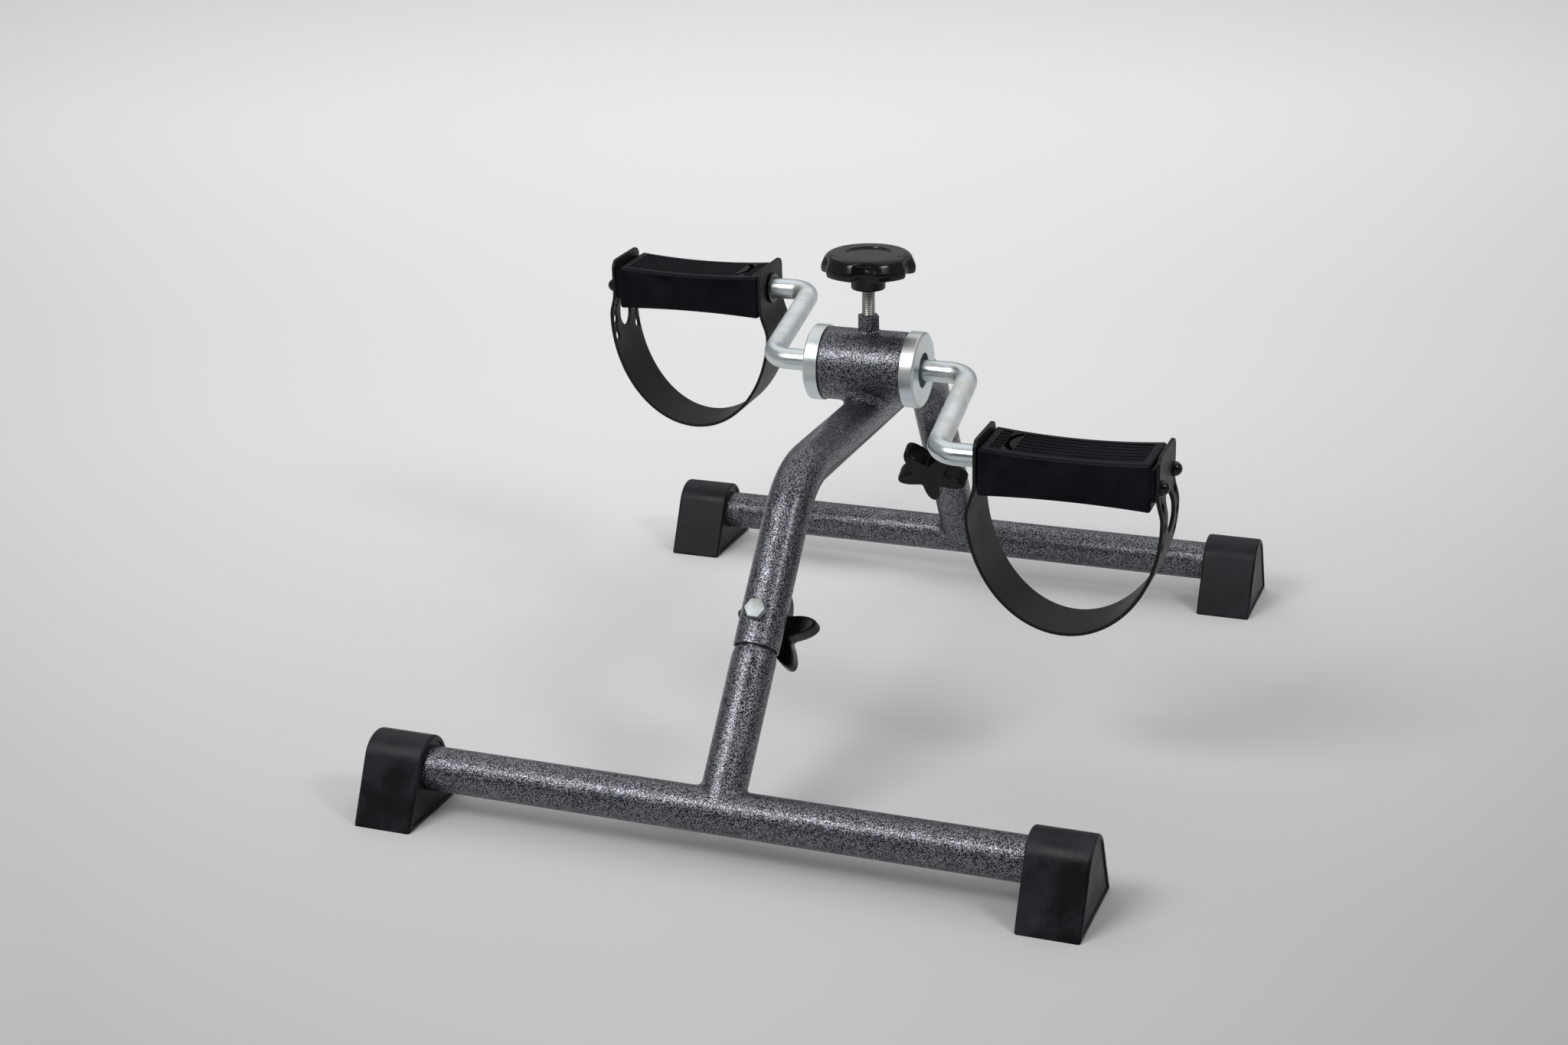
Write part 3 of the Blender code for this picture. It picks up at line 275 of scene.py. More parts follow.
# %% Moulded black plastics and rubber
def moulded(name, colour, dust, gloss, shine, grain_scale, grain_depth, cloud_scale=38.0):
    material, board, place = start_finish(name)
    cloud = board.noise(place, cloud_scale, 4.0, 0.62, 0.4)
    grain = board.noise(place, grain_scale, 2.0, 0.55)
    smooth, dull = gloss
    return close_finish(material, board, {
        "Base Color": board.blend(board.ease(cloud, 0.40, 0.78), colour, dust),
        "Roughness": board.ease(cloud, 0.28, 0.72, smooth, dull) + grain * 0.03,
        "Specular IOR Level": shine,
        "Normal": bumped(board, grain, grain_depth),
    })


KNOB_PLASTIC = moulded("knob_plastic", (0.004, 0.004, 0.0045), (0.006, 0.006, 0.0065),
                       (0.12, 0.18), 0.32, 420.0, 0.00002)
STAR_PLASTIC = moulded("star_plastic", (0.004, 0.004, 0.0045), (0.007, 0.007, 0.0075),
                       (0.20, 0.30), 0.12, 420.0, 0.00003)
PEDAL_PLASTIC = moulded("pedal_plastic", (0.004, 0.004, 0.0062), (0.009, 0.009, 0.013),
                        (0.22, 0.36), 0.06, 1500.0, 0.00004)
STRAP_PLASTIC = moulded("strap_plastic", (0.007, 0.007, 0.007), (0.013, 0.013, 0.013),
                        (0.38, 0.50), 0.20, 1100.0, 0.00005)
RUBBER = moulded("foot_rubber", (0.0022, 0.0028, 0.0042), (0.013, 0.016, 0.022),
                 (0.30, 0.50), 0.26, 800.0, 0.00006, 42.0)
NYLON = moulded("dark_nylon", (0.008, 0.008, 0.009), (0.014, 0.014, 0.015), (0.34, 0.46), 0.3, 900.0, 0.00004)

# %% [markdown]
# Most pieces start as a line that is turned about an axis, or as an outline with a thickness.
# Real edges are never sharp, so a helper rounds the corners of such a line. The mesh is made
# about its own axis first, and then moved to its place as the last step.


# %% Lines, turned skins and plates
def placed(name, data):
    """A new object in the scene for a mesh, a curve, a lamp or a camera."""
    thing = bpy.data.objects.new(name, data)
    bpy.context.scene.collection.objects.link(thing)
    return thing


def rounded(corners, steps=4, loop=False):
    """A line through (x, y, radius) corners with the corners rounded."""
    points = []
    for number, (x, y, radius) in enumerate(corners):
        here = Vector((x, y))
        inside = loop or 0 < number < len(corners) - 1
        if radius == 0 or not inside:
            points.append(here)
            continue
        before = (Vector(corners[number - 1][:2]) - here).normalized()
        after = (Vector(corners[(number + 1) % len(corners)][:2]) - here).normalized()
        half = before.angle(after) / 2
        centre = here + (before + after).normalized() * radius / sin(half)
        start = here + before * radius / tan(half) - centre
        stop = here + after * radius / tan(half) - centre
        for step in range(steps + 1):
            points.append(centre + start.slerp(stop, step / steps) * radius)
    return points


def arc(centre, radius, start, stop, steps):
    angles = [start + (stop - start) * step / steps for step in range(steps + 1)]
    return [(centre[0] + radius * cos(angle), centre[1] + radius * sin(angle)) for angle in angles]


def hexagon(flats):
    """The outline of a nut or a bolt head by its width across flats."""
    return arc((0, 0), flats / sqrt(3), 0, 2 * pi * 5 / 6, 5)


def turned(line, sides=96, loop=False):
    """Turn a line of (radius, height) points about Z; points on the axis become poles."""
    bm = bmesh.new()
    rings = []
    for radius, height in line:
        count = 1 if radius < 1e-7 else sides
        angles = [2 * pi * number / sides for number in range(count)]
        rings.append([bm.verts.new((radius * cos(angle), radius * sin(angle), height)) for angle in angles])
    for low, high in list(zip(rings, rings[1:])) + ([(rings[-1], rings[0])] if loop else []):
        for number in range(sides):
            after = (number + 1) % sides
            corners = [low[number % len(low)], low[after % len(low)], high[after % len(high)],
                       high[number % len(high)]]
            bm.faces.new(list(dict.fromkeys(corners)))
    return bm


def plate(outlines, thickness, edge=0.0, edge_steps=2):
    """A flat outline with holes, thick along Z about its middle, with rounded edges."""
    curve = bpy.data.curves.new("plate", "CURVE")
    curve.dimensions = "2D"
    curve.fill_mode = "BOTH"
    curve.extrude = thickness / 2 - edge
    curve.bevel_depth = edge
    curve.bevel_resolution = edge_steps
    curve.offset = -edge
    for outline in outlines:
        spline = curve.splines.new("POLY")
        spline.points.add(len(outline) - 1)
        for point, (x, y) in zip(spline.points, outline):
            point.co = (x, y, 0, 1)
        spline.use_cyclic_u = True
    return harvest(placed("plate", curve))


def harvest(carrier):
    """Read what a helper object evaluates to, welded, and remove the helper."""
    graph = bpy.context.evaluated_depsgraph_get()
    mesh = bpy.data.meshes.new_from_object(carrier.evaluated_get(graph))
    bm = bmesh.new()
    bm.from_mesh(mesh)
    bmesh.ops.remove_doubles(bm, verts=bm.verts, dist=0.000001)
    bmesh.ops.recalc_face_normals(bm, faces=bm.faces)
    bpy.data.objects.remove(carrier)
    bpy.data.meshes.remove(mesh)
    return bm


# %% [markdown]
# Some pieces are several shapes in one, and some have holes. Moving, joining and cutting are
# three more small helpers. A cut is an exact Boolean on throwaway objects.


# %% Move, join and cut shapes
def moved(bm, matrix):
    bmesh.ops.transform(bm, matrix=matrix, verts=bm.verts)
    return bm


def together(*shapes):
    """Put several shapes into one mesh."""
    whole = shapes[0]
    for shape in shapes[1:]:
        mesh = bpy.data.meshes.new("shape")
        shape.to_mesh(mesh)
        shape.free()
        whole.from_mesh(mesh)
        bpy.data.meshes.remove(mesh)
    return whole


def throwaway(bm):
    mesh = bpy.data.meshes.new("shape")
    bmesh.ops.recalc_face_normals(bm, faces=bm.faces)
    bm.to_mesh(mesh)
    bm.free()
    return placed("shape", mesh)


def carved(base, *tools):
    """Cut each tool shape out of the base."""
    body = throwaway(base)
    cutters = [throwaway(tool) for tool in tools]
    for cutter in cutters:
        boolean = body.modifiers.new("Cut", "BOOLEAN")
        boolean.operation = "DIFFERENCE"
        boolean.solver = "EXACT"
        boolean.object = cutter
    result = harvest(body)
    for cutter in cutters:
        bpy.data.objects.remove(cutter)
    return result


def rod(radius, start, stop, sides=64):
    """A round bar along Z with flat ends."""
    return turned([(0, start), (radius, start), (radius, stop), (0, stop)], sides)


# %% [markdown]
# The last helper finishes a piece: it moves the mesh to its place and leaves the object at
# the origin, marks edges sharp or smooth, hangs the finish on it, parents it to the empty of
# the body that it rides on and hides the solids that it stands for. Weighted normals keep flat
# faces flat beside their small rounded edges.


# %% Finish a piece
def piece(name, bm, finish, body, stands_for=(), place=Matrix.Identity(4), crease=radians(34)):
    bmesh.ops.transform(bm, matrix=place, verts=bm.verts)
    bmesh.ops.recalc_face_normals(bm, faces=bm.faces)
    for face in bm.faces:
        face.smooth = True
        face.material_index = 0
    for edge in bm.edges:
        edge.smooth = edge.calc_face_angle(0.0) < crease
    mesh = bpy.data.meshes.new(name)
    bm.to_mesh(mesh)
    bm.free()
    mesh.materials.append(finish)
    thing = placed(name, mesh)
    normals = thing.modifiers.new("Flat faces", "WEIGHTED_NORMAL")
    normals.keep_sharp = True
    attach(thing, body)
    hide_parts(*stands_for)
    print("piece:", name, len(mesh.polygons), "faces")


# %% [markdown]
# Geometry Nodes make the pieces that follow a path or a rule. Each tree has named inputs for
# its sizes. A throwaway object carries the tree, its modifier's inputs are set by their
# identifiers, and the result is read back as a plain mesh.


# %% Build and run a Geometry Nodes tree
def start_tree(name, lengths, counts=()):
    tree = bpy.data.node_groups.new(name, "GeometryNodeTree")
    tree.interface.new_socket("Geometry", in_out="INPUT", socket_type="NodeSocketGeometry")
    for labels, kind in ((lengths, "NodeSocketFloat"), (counts, "NodeSocketInt")):
        for label in labels:
            tree.interface.new_socket(label, in_out="INPUT", socket_type=kind)
    tree.interface.new_socket("Finish", in_out="INPUT", socket_type="NodeSocketMaterial")
    tree.interface.new_socket("Geometry", in_out="OUTPUT", socket_type="NodeSocketGeometry")
    board = Board(tree)
    entry = tree.nodes.new("NodeGroupInput")
    return board, {socket.name: Signal(board, socket) for socket in entry.outputs if socket.name}


def close_tree(board, geometry, finish):
    plain = board.add("GeometryNodeRealizeInstances", values=[geometry])
    dressed = board.add("GeometryNodeSetMaterial", values={"Geometry": plain, "Material": finish})
    leave = board.tree.nodes.new("NodeGroupOutput")
    board.tree.links.new(dressed.socket, leave.inputs[0])
    return board.tree


def grow(tree, finish, sizes, start=None):
    """Run a tree on a starting mesh and read back what it grew."""
    mesh = bpy.data.meshes.new("start")
    if start is not None:
        start.to_mesh(mesh)
        start.free()
    carrier = placed("carrier", mesh)
    modifier = carrier.modifiers.new("Grow", "NODES")
    modifier.node_group = tree
    settings = {**sizes, "Finish": finish}
    for item in tree.interface.items_tree:
        if item.in_out == "INPUT" and item.name in settings:
            modifier[item.identifier] = settings[item.name]
    return harvest(carrier)


# %% [markdown]
# The frame's upper tube and the crank are bars bent to a radius in a few places. The tree
# takes the corners as a bare line, rounds each corner to the bend radius, and runs a circle
# along it. The tube bends once over each leg, and the crank has four bends.


# %% A tree for bent bars
def bent_bar_tree():
    board, given = start_tree("bent_bar", ["Bend Radius", "Bar Radius"], ["Bend Steps", "Sides"])
    line = board.add("GeometryNodeMeshToCurve", values=[given["Geometry"]])
    bent = board.add("GeometryNodeFilletCurve", {"mode": "POLY"},
                     {"Curve": line, "Count": given["Bend Steps"], "Radius": given["Bend Radius"]})
    ring = board.add("GeometryNodeCurvePrimitiveCircle",
                     values={"Resolution": given["Sides"], "Radius": given["Bar Radius"]})
    skin = board.add("GeometryNodeCurveToMesh",
                     values={"Curve": bent, "Profile Curve": ring, "Fill Caps": True})
    return close_tree(board, skin, given["Finish"])


def bent_bar(corners, bend_radius, bar_radius, finish, bend_steps=16, sides=96):
    line = bmesh.new()
    points = [line.verts.new(corner) for corner in corners]
    for first, second in zip(points, points[1:]):
        line.edges.new((first, second))
    return grow(BENT_BAR, finish, {"Bend Radius": bend_radius, "Bar Radius": bar_radius,
                                   "Bend Steps": bend_steps, "Sides": sides}, line)


BENT_BAR = bent_bar_tree()

# %% [markdown]
# Both legs lean inwards from their cross bar. A leg is worked out once, along its own axis,
# and turned round for the rear. The stub that is welded on the bar narrows at its top and
# slides into the upper tube; a bolt with a star knob goes through both.

# %% The two legs
FRONT_STUB, REAR_STUB = 0.0917, 0.079
SWAGE_LENGTH = 0.0052
STUB_INSERT = 0.038
UPPER_TUBE_WALL = 0.0012
SWAGE_RADIUS = UPPER_TUBE_RADIUS - UPPER_TUBE_WALL - FIT
LOCK_ABOVE_SEAM = 0.0190
LEGS = {
    "front": {"turn": 0.0, "lean": radians(40.0), "stub": FRONT_STUB, "knob_turn": radians(17.0)},
    "rear": {"turn": pi, "lean": radians(31.5), "stub": REAR_STUB, "knob_turn": radians(-18.0)},
}


def bar_place(leg):
    """From the middle of a cross bar, with its leg to the back, to the bar's place."""
    return Matrix.Rotation(leg["turn"], 4, "Z") @ Matrix.Translation((0, -BAR_SPACING / 2, BAR_HEIGHT))


def leg_place(leg):
    """From a leg that stands along Z on its bar's middle to the leg's place."""
    return bar_place(leg) @ Matrix.Rotation(-leg["lean"], 4, "X")


# %% [markdown]
# Where one round tube is welded on another, the painted weld is a small hollow fillet with
# faint ripples. A ball rolled along both tubes touches each of them along one line; the
# fillet is the ball's surface between the two touching lines, so it meets both tubes smoothly.


# %% A weld fillet between two tubes
WELD_STEPS, WELD_ROOT = 8, 0.0015


def weld_ring(stations, radius, ripples, ripple_height):
    """Join stations of (ball centre, touch on one tube, touch on the other) into a closed bead."""
    bm = bmesh.new()
    rings = []
    for number, (centre, first, second) in enumerate(stations):
        start, stop = (first - centre) / radius, (second - centre) / radius
        bulge = ripple_height * (0.5 + 0.5 * cos(2 * pi * ripples * number / len(stations)))
        section = []
        for step in range(WELD_STEPS + 1):
            share = step / WELD_STEPS
            direction = start.lerp(stop, share).normalized() if (start + stop).length > 1e-9 else start
            section.append(centre + direction * (radius - bulge * sin(pi * share)))
        middle = (section[0] + section[-1]) / 2
        section.append(middle + (middle - centre).normalized() * WELD_ROOT)
        rings.append([bm.verts.new(point) for point in section])
    for low, high in zip(rings, rings[1:] + rings[:1]):
        for number in range(len(low)):
            after = (number + 1) % len(low)
            bm.faces.new((low[number], high[number], high[after], low[after]))
    return bm


def upright_weld(upright, lying, radius, ripples, ripple_height, count=144):
    """Fillet round a tube along Z that stands on a tube along X."""
    stations = []
    for number in range(count):
        angle = 2 * pi * number / count
        x, y = (upright + radius) * cos(angle), (upright + radius) * sin(angle)
        z = sqrt(max((lying + radius) ** 2 - y * y, 0.0))
        share, onto = upright / (upright + radius), lying / (lying + radius)
        stations.append((Vector((x, y, z)), Vector((x * share, y * share, z)),
                         Vector((x, y * onto, z * onto))))
    return weld_ring(stations, radius, ripples, ripple_height)


# %% [markdown]
# Each cross bar is a round tube, its stub and the weld between them. The stub is turned: it
# narrows at its top, and a small step just under the seam leaves a thin dark groove there.

# %% Cross bars with their stubs
BAR_LENGTH = 0.384
LEG_WELD = 0.0032
SEAM_GROOVE = 0.0006

for end, leg in LEGS.items():
    bar = moved(rod(TUBE_RADIUS, -BAR_LENGTH / 2, BAR_LENGTH / 2, 96), TO_X)
    neck = leg["stub"] - SWAGE_LENGTH
    stub_line = rounded([(0, 0, 0), (TUBE_RADIUS, 0, 0), (TUBE_RADIUS, neck, 0.008),
                         (SWAGE_RADIUS + 0.0003, leg["stub"] - SEAM_GROOVE, 0.0004),
                         (SWAGE_RADIUS - SEAM_GROOVE, leg["stub"] - SEAM_GROOVE, 0.0002),
                         (SWAGE_RADIUS - SEAM_GROOVE, leg["stub"] + 0.004, 0),
                         (SWAGE_RADIUS, leg["stub"] + 0.005, 0), (SWAGE_RADIUS, leg["stub"] + STUB_INSERT, 0),
                         (0, leg["stub"] + STUB_INSERT, 0)], steps=5)
    lean = Matrix.Rotation(-leg["lean"], 4, "X")
    stub = moved(turned(stub_line, 96), lean)
    weld = moved(upright_weld(TUBE_RADIUS, TUBE_RADIUS, LEG_WELD, 26, 0.00012), lean)
    piece(end + "_bar_and_stub", together(bar, stub, weld), PAINT, "frame",
          [end + "_cross_bar"], bar_place(leg))

# %% [markdown]
# The upper tube is one bent bar from stub to stub. Its open ends have a rounded lip of bare
# wall thickness, so each end gets a short turned collar with a bore, in which the narrowed
# stub stands with a thin dark gap around it.

# %% The bent frame tube
FRAME_BEND = 0.050
COLLAR_LENGTH = 0.006
LIP = 0.0005


def bar_end(leg):
    """Where the bent bar stops on a leg, at the top of the collar."""
    return leg_place(leg) @ Vector((0, 0, leg["stub"] + FIT + COLLAR_LENGTH))


def bend_corner(leg):
    reach = BAR_SPACING / 2 - (TOP_RUN_HEIGHT - BAR_HEIGHT) * tan(leg["lean"])
    return Vector((0, -reach * cos(leg["turn"]), TOP_RUN_HEIGHT))


def end_collar(leg):
    """The bored end of the tube, along the leg's Z."""
    bottom = leg["stub"] + FIT
    bore = UPPER_TUBE_RADIUS - UPPER_TUBE_WALL
    line = rounded([(UPPER_TUBE_RADIUS, bottom + COLLAR_LENGTH, 0), (UPPER_TUBE_RADIUS, bottom, LIP),
                    (bore, bottom, LIP), (bore, bottom + COLLAR_LENGTH, 0)])
    return moved(turned(line, 96, loop=True), leg_place(leg))


front, rear = LEGS["front"], LEGS["rear"]
tube = bent_bar([bar_end(front), bend_corner(front), bend_corner(rear), bar_end(rear)], FRAME_BEND,
                UPPER_TUBE_RADIUS, PAINT, bend_steps=28)
piece("bent_frame_tube", together(tube, end_collar(front), end_collar(rear)), PAINT, "frame",
      ["upper_frame_tube"])

# %% [markdown]
# The feet are rubber blocks pushed over the ends of the cross bars: a flat sole, sloping
# sides and a round top. The outline is drawn once from the side, given a thickness with
# rounded edges, dished at both ends, bored for the bar and grooved underneath.

# %% Rubber feet
FOOT_SPAN, FOOT_LENGTH, FOOT_DEPTH, FOOT_HEIGHT = 0.414, 0.035, 0.064, 0.0452
FOOT_TOP_RADIUS = 0.0165
FOOT_EDGE = 0.0016
SOLE_HEIGHT, SOLE_STEP = 0.0042, 0.0006
DISH_RIM, DISH_DEPTH = 0.0028, 0.0008
GROOVE_WIDTH, GROOVE_DEPTH, GROOVE_PITCH, GROOVE_COUNT = 0.0024, 0.0012, 0.012, 4
STAND_ON_X = Matrix(((0, 0, 1, 0), (1, 0, 0, 0), (0, 1, 0, 0), (0, 0, 0, 1)))


def foot_outline(inset=0.0):
    centre = FOOT_HEIGHT - FOOT_TOP_RADIUS
    half = FOOT_DEPTH / 2 - FIT
    slope = atan2(centre, half) + asin(FOOT_TOP_RADIUS / hypot(half, centre))
    top = arc((0, centre), FOOT_TOP_RADIUS - inset, pi / 2 - slope, pi / 2 + slope, 28)
    base_half = half - inset / tan(slope / 2)
    sole = [] if inset else [(half - SOLE_STEP, SOLE_HEIGHT * 0.45)]
    mirrored = [(-y, z) for y, z in sole]
    return [(base_half, inset)] + sole + top + mirrored + [(-base_half, inset)]


def box(low, high):
    bm = bmesh.new()
    low, high = Vector(low), Vector(high)
    matrix = Matrix.Translation((low + high) / 2) @ Matrix.Diagonal((*(high - low), 1))
    bmesh.ops.create_cube(bm, size=1.0, matrix=matrix)
    return bm


def rubber_foot():
    """One foot, from its inner end at the origin out along X."""
    body = plate([foot_outline()], FOOT_LENGTH, FOOT_EDGE, 3)
    body = moved(moved(body, Matrix.Translation((0, 0, FOOT_LENGTH / 2))), STAND_ON_X)
    socket_end = BAR_LENGTH / 2 + FIT - FOOT_SPAN / 2 + FOOT_LENGTH
    socket = moved(rod(TUBE_RADIUS + FIT, -FOOT_EDGE, socket_end, 96),
                   Matrix.Translation((0, 0, BAR_HEIGHT)) @ TO_X)
    dishes = []
    for middle in (0.0, FOOT_LENGTH):
        dish = plate([foot_outline(DISH_RIM)], 2 * DISH_DEPTH, 0.0004, 1)
        dishes.append(moved(moved(dish, STAND_ON_X), Matrix.Translation((middle, 0, 0))))
    first = -GROOVE_PITCH * (GROOVE_COUNT - 1) / 2
    grooves = [box((-FOOT_LENGTH, first + GROOVE_PITCH * number - GROOVE_WIDTH / 2, -GROOVE_DEPTH),
                   (2 * FOOT_LENGTH, first + GROOVE_PITCH * number + GROOVE_WIDTH / 2, GROOVE_DEPTH))
               for number in range(GROOVE_COUNT)]
    return carved(body, socket, *dishes, *grooves)


for end, leg in LEGS.items():
    for side, turn in SIDES.items():
        y = -BAR_SPACING / 2 * cos(leg["turn"])
        x = (FOOT_SPAN / 2 - FOOT_LENGTH) * cos(turn)
        place = Matrix.Translation((x, y, 0)) @ Matrix.Rotation(turn, 4, "Z")
        piece(f"rubber_foot_{end}_{side}", rubber_foot(), RUBBER, "frame",
              [f"foot_{end}_{side}"], place)

# %% [markdown]
# The hub is a short painted tube that sits in a saddle on the frame tube and is welded round
# it. Here the two tubes cross one above the other, so the rolling ball's path is a closed
# loop over the frame tube. A hexagon nut for the brake screw is welded on top.

# %% Hub barrel, welds and the nut
HUB_LENGTH, HUB_BORE = 0.051, 0.0195
HUB_WELD, NUT_WELD = 0.0034, 0.0016
SCREW_RADIUS, THREAD_DEPTH, THREAD_PITCH = 0.004, 0.00042, 0.00125
NUT_FLATS, NUT_HEIGHT, NUT_EDGE = 0.0115, 0.0097, 0.0006
NUT_TOP = HUB_RADIUS + NUT_HEIGHT


def saddle_weld(radius, ripples, ripple_height, count=180):
    """Fillet where the hub, along X, sits across the frame tube, along Y and lower."""
    hub_reach, tube_reach = HUB_RADIUS + radius, UPPER_TUBE_RADIUS + radius
    widest = acos((HUB_RISE - hub_reach) / tube_reach)
    stations = []
    for number in range(count):
        turn = 2 * pi * number / count
        angle = widest * cos(turn)
        x, z = tube_reach * sin(angle), tube_reach * cos(angle) - HUB_RISE
        y = sqrt(max(hub_reach ** 2 - z * z, 0.0)) * (1 if sin(turn) >= 0 else -1)
        hub_share, tube_share = HUB_RADIUS / hub_reach, UPPER_TUBE_RADIUS / tube_reach
        on_hub = Vector((x, y * hub_share, z * hub_share))
        on_tube = Vector((x * tube_share, y, (z + HUB_RISE) * tube_share - HUB_RISE))
        stations.append((Vector((x, y, z)), on_hub, on_tube))
    return weld_ring(stations, radius, ripples, ripple_height)


barrel_line = rounded([(HUB_RADIUS, -HUB_LENGTH / 2, 0.0005), (HUB_RADIUS, HUB_LENGTH / 2, 0.0005),
                       (HUB_BORE, HUB_LENGTH / 2, 0.0003), (HUB_BORE, -HUB_LENGTH / 2, 0.0003)], loop=True)
screw_way = rod(SCREW_RADIUS + FIT, 0, 2 * NUT_TOP, 32)
barrel = carved(moved(turned(barrel_line, 128, loop=True), TO_X), screw_way)
nut_corner = NUT_FLATS / sqrt(3)
welds = together(saddle_weld(HUB_WELD, 30, 0.00022),
                 upright_weld(nut_corner * 0.93, HUB_RADIUS, NUT_WELD, 12, 0.0001))
piece("hub_barrel", together(barrel, welds), PAINT, "frame", ["hub_shell"], AT_HUB)

nut_bottom = sqrt(HUB_RADIUS ** 2 - nut_corner ** 2) - FIT
nut = moved(plate([hexagon(NUT_FLATS)], NUT_TOP - nut_bottom, NUT_EDGE, 3),
            Matrix.Translation((0, 0, (NUT_TOP + nut_bottom) / 2)))
nut = carved(nut, rod(SCREW_RADIUS + FIT, 0, 2 * NUT_TOP, 32),
             moved(rod(HUB_RADIUS + FIT, -HUB_LENGTH, HUB_LENGTH, 128), TO_X))
piece("knob_nut", nut, PAINT, "frame", ["tension_boss"], AT_HUB)

# %% [markdown]
# A turned zinc cap closes each end of the hub, with a thin dark line before the barrel, a
# chamfered rim and a hole. A black bush sits a little deep in the hole and carries the crank.

# %% Caps and bushes
CAP_RADIUS, CAP_WIDTH, CAP_EDGE, CAP_HOLE = 0.0229, 0.009, 0.0014, 0.0105
CAP_INNER = HUB_LENGTH / 2 + FIT
CAP_FACE = CAP_INNER + CAP_WIDTH
SPIGOT_END = CAP_INNER - 0.008
BUSH_RECESS, BUSH_FLANGE, BUSH_FLANGE_WIDTH = 0.0022, 0.0130, 0.0022
ROD_RADIUS = 0.0065

for side, turn in SIDES.items():
    facing = AT_HUB @ Matrix.Rotation(turn, 4, "Z") @ TO_X
    spigot = HUB_BORE - FIT
    cap_line = rounded([(CAP_RADIUS - CAP_EDGE, CAP_FACE, 0.0006),
                        (CAP_RADIUS, CAP_FACE - CAP_EDGE * 0.7, 0.0006), (CAP_RADIUS, CAP_INNER, 0.0003),
                        (spigot, CAP_INNER, 0), (spigot, SPIGOT_END, 0), (CAP_HOLE, SPIGOT_END, 0),
                        (CAP_HOLE, CAP_FACE, 0.0005)], loop=True)
    piece("bright_cap_" + side, turned(cap_line, 128, loop=True), TURNED_ZINC, "frame",
          ["hub_cap_" + side], facing)
    top, shoulder = CAP_FACE - BUSH_RECESS, SPIGOT_END - FIT
    flange_end = shoulder - BUSH_FLANGE_WIDTH
    bush_radius, bore = CAP_HOLE - FIT, ROD_RADIUS + FIT
    bush_line = rounded([(bush_radius, top, 0.0006), (bush_radius, shoulder, 0), (BUSH_FLANGE, shoulder, 0),
                         (BUSH_FLANGE, flange_end, 0), (bore, flange_end, 0), (bore, top, 0.0007)], loop=True)
    piece("crank_bush_" + side, turned(bush_line, 96, loop=True), NYLON, "frame",
          ["axle_bush_" + side], facing)

# %% [markdown]
# The crank is a single round bar, bent four times: out of the hub into each slanting arm, and
# out again to the pedal. Thinner pins go on from its ends inside the pedals.

# %% The crank
CRANK_LENGTH, CRANK_ANGLE = 0.1016, radians(9.2)
ARM_ROOT_X, ARM_TIP_X, CRANK_BEND = 0.0634, 0.0725, 0.0135
PEDAL_CENTRE_X, PEDAL_LENGTH, PEDAL_DEPTH, PEDAL_THICKNESS = 0.151, 0.097, 0.042, 0.028
PEDAL_END = PEDAL_LENGTH / 2
PIN_RADIUS, SLEEVE_DEPTH = 0.005, 0.012
PIN_SHOULDER = PEDAL_CENTRE_X - PEDAL_END + SLEEVE_DEPTH - FIT
RETAINER_POCKET, RETAINER_THICKNESS, PIN_PAST_RETAINER = 0.008, 0.0022, 0.0016
PIN_TIP = PEDAL_CENTRE_X + PEDAL_END - RETAINER_POCKET + FIT + RETAINER_THICKNESS + PIN_PAST_RETAINER
AT_CRANK = AT_HUB @ Matrix.Rotation(CRANK_ANGLE, 4, "X")

crank_corners = [(-PIN_SHOULDER, CRANK_LENGTH, 0), (-ARM_TIP_X, CRANK_LENGTH, 0), (-ARM_ROOT_X, 0, 0),
                 (ARM_ROOT_X, 0, 0), (ARM_TIP_X, -CRANK_LENGTH, 0), (PIN_SHOULDER, -CRANK_LENGTH, 0)]
crank = bent_bar(crank_corners, CRANK_BEND, ROD_RADIUS, ROD_ZINC, bend_steps=18, sides=64)
for way in (1, -1):
    root = PIN_SHOULDER - ROD_RADIUS
    pin_line = rounded([(0, PIN_TIP, 0), (PIN_RADIUS, PIN_TIP, 0.0008), (PIN_RADIUS, root, 0), (0, root, 0)])
    stand = Matrix.Translation((0, -CRANK_LENGTH * way, 0)) @ Matrix.Rotation(pi / 2 * way, 4, "Y")
    crank = together(crank, moved(turned(pin_line, 48), stand))
piece("plated_crank", crank, ROD_ZINC, "crank", ["crank_rod"], AT_CRANK)

# %% [markdown]
# Screw threads repeat along a helix. The tree takes a plain cylinder of many rings and draws
# each point in by how far it is from the crest of the helix, a sum of its angle and its
# height. The brake screw and the leg bolts use the same tree at their own pitch.


# %% A tree for screw threads
def thread_tree():
    board, given = start_tree("screw_thread", ["Radius", "Depth", "Pitch", "Length"], ["Rings", "Sides"])
    post = board.add("GeometryNodeMeshCylinder", values={"Vertices": given["Sides"],
                                                         "Side Segments": given["Rings"],
                                                         "Radius": given["Radius"], "Depth": given["Length"]})
    x, y, z = board.split(board.add("GeometryNodeInputPosition"))
    turn = board.math("ARCTAN2", y, x) / (2 * pi)
    phase = board.math("FRACT", z / given["Pitch"] - turn + 100.0)
    away = board.math("ABSOLUTE", phase - 0.5) * 2.0
    near_end = board.ease(given["Length"] / 2.0 - board.math("ABSOLUTE", z), 0.0, 0.0008, 1.0, 0.0)
    inward = board.math("MAXIMUM", away, near_end) * given["Depth"] / given["Radius"] * -1.0
    return close_tree(board, board.shift(post, x * inward, y * inward, 0.0), given["Finish"])


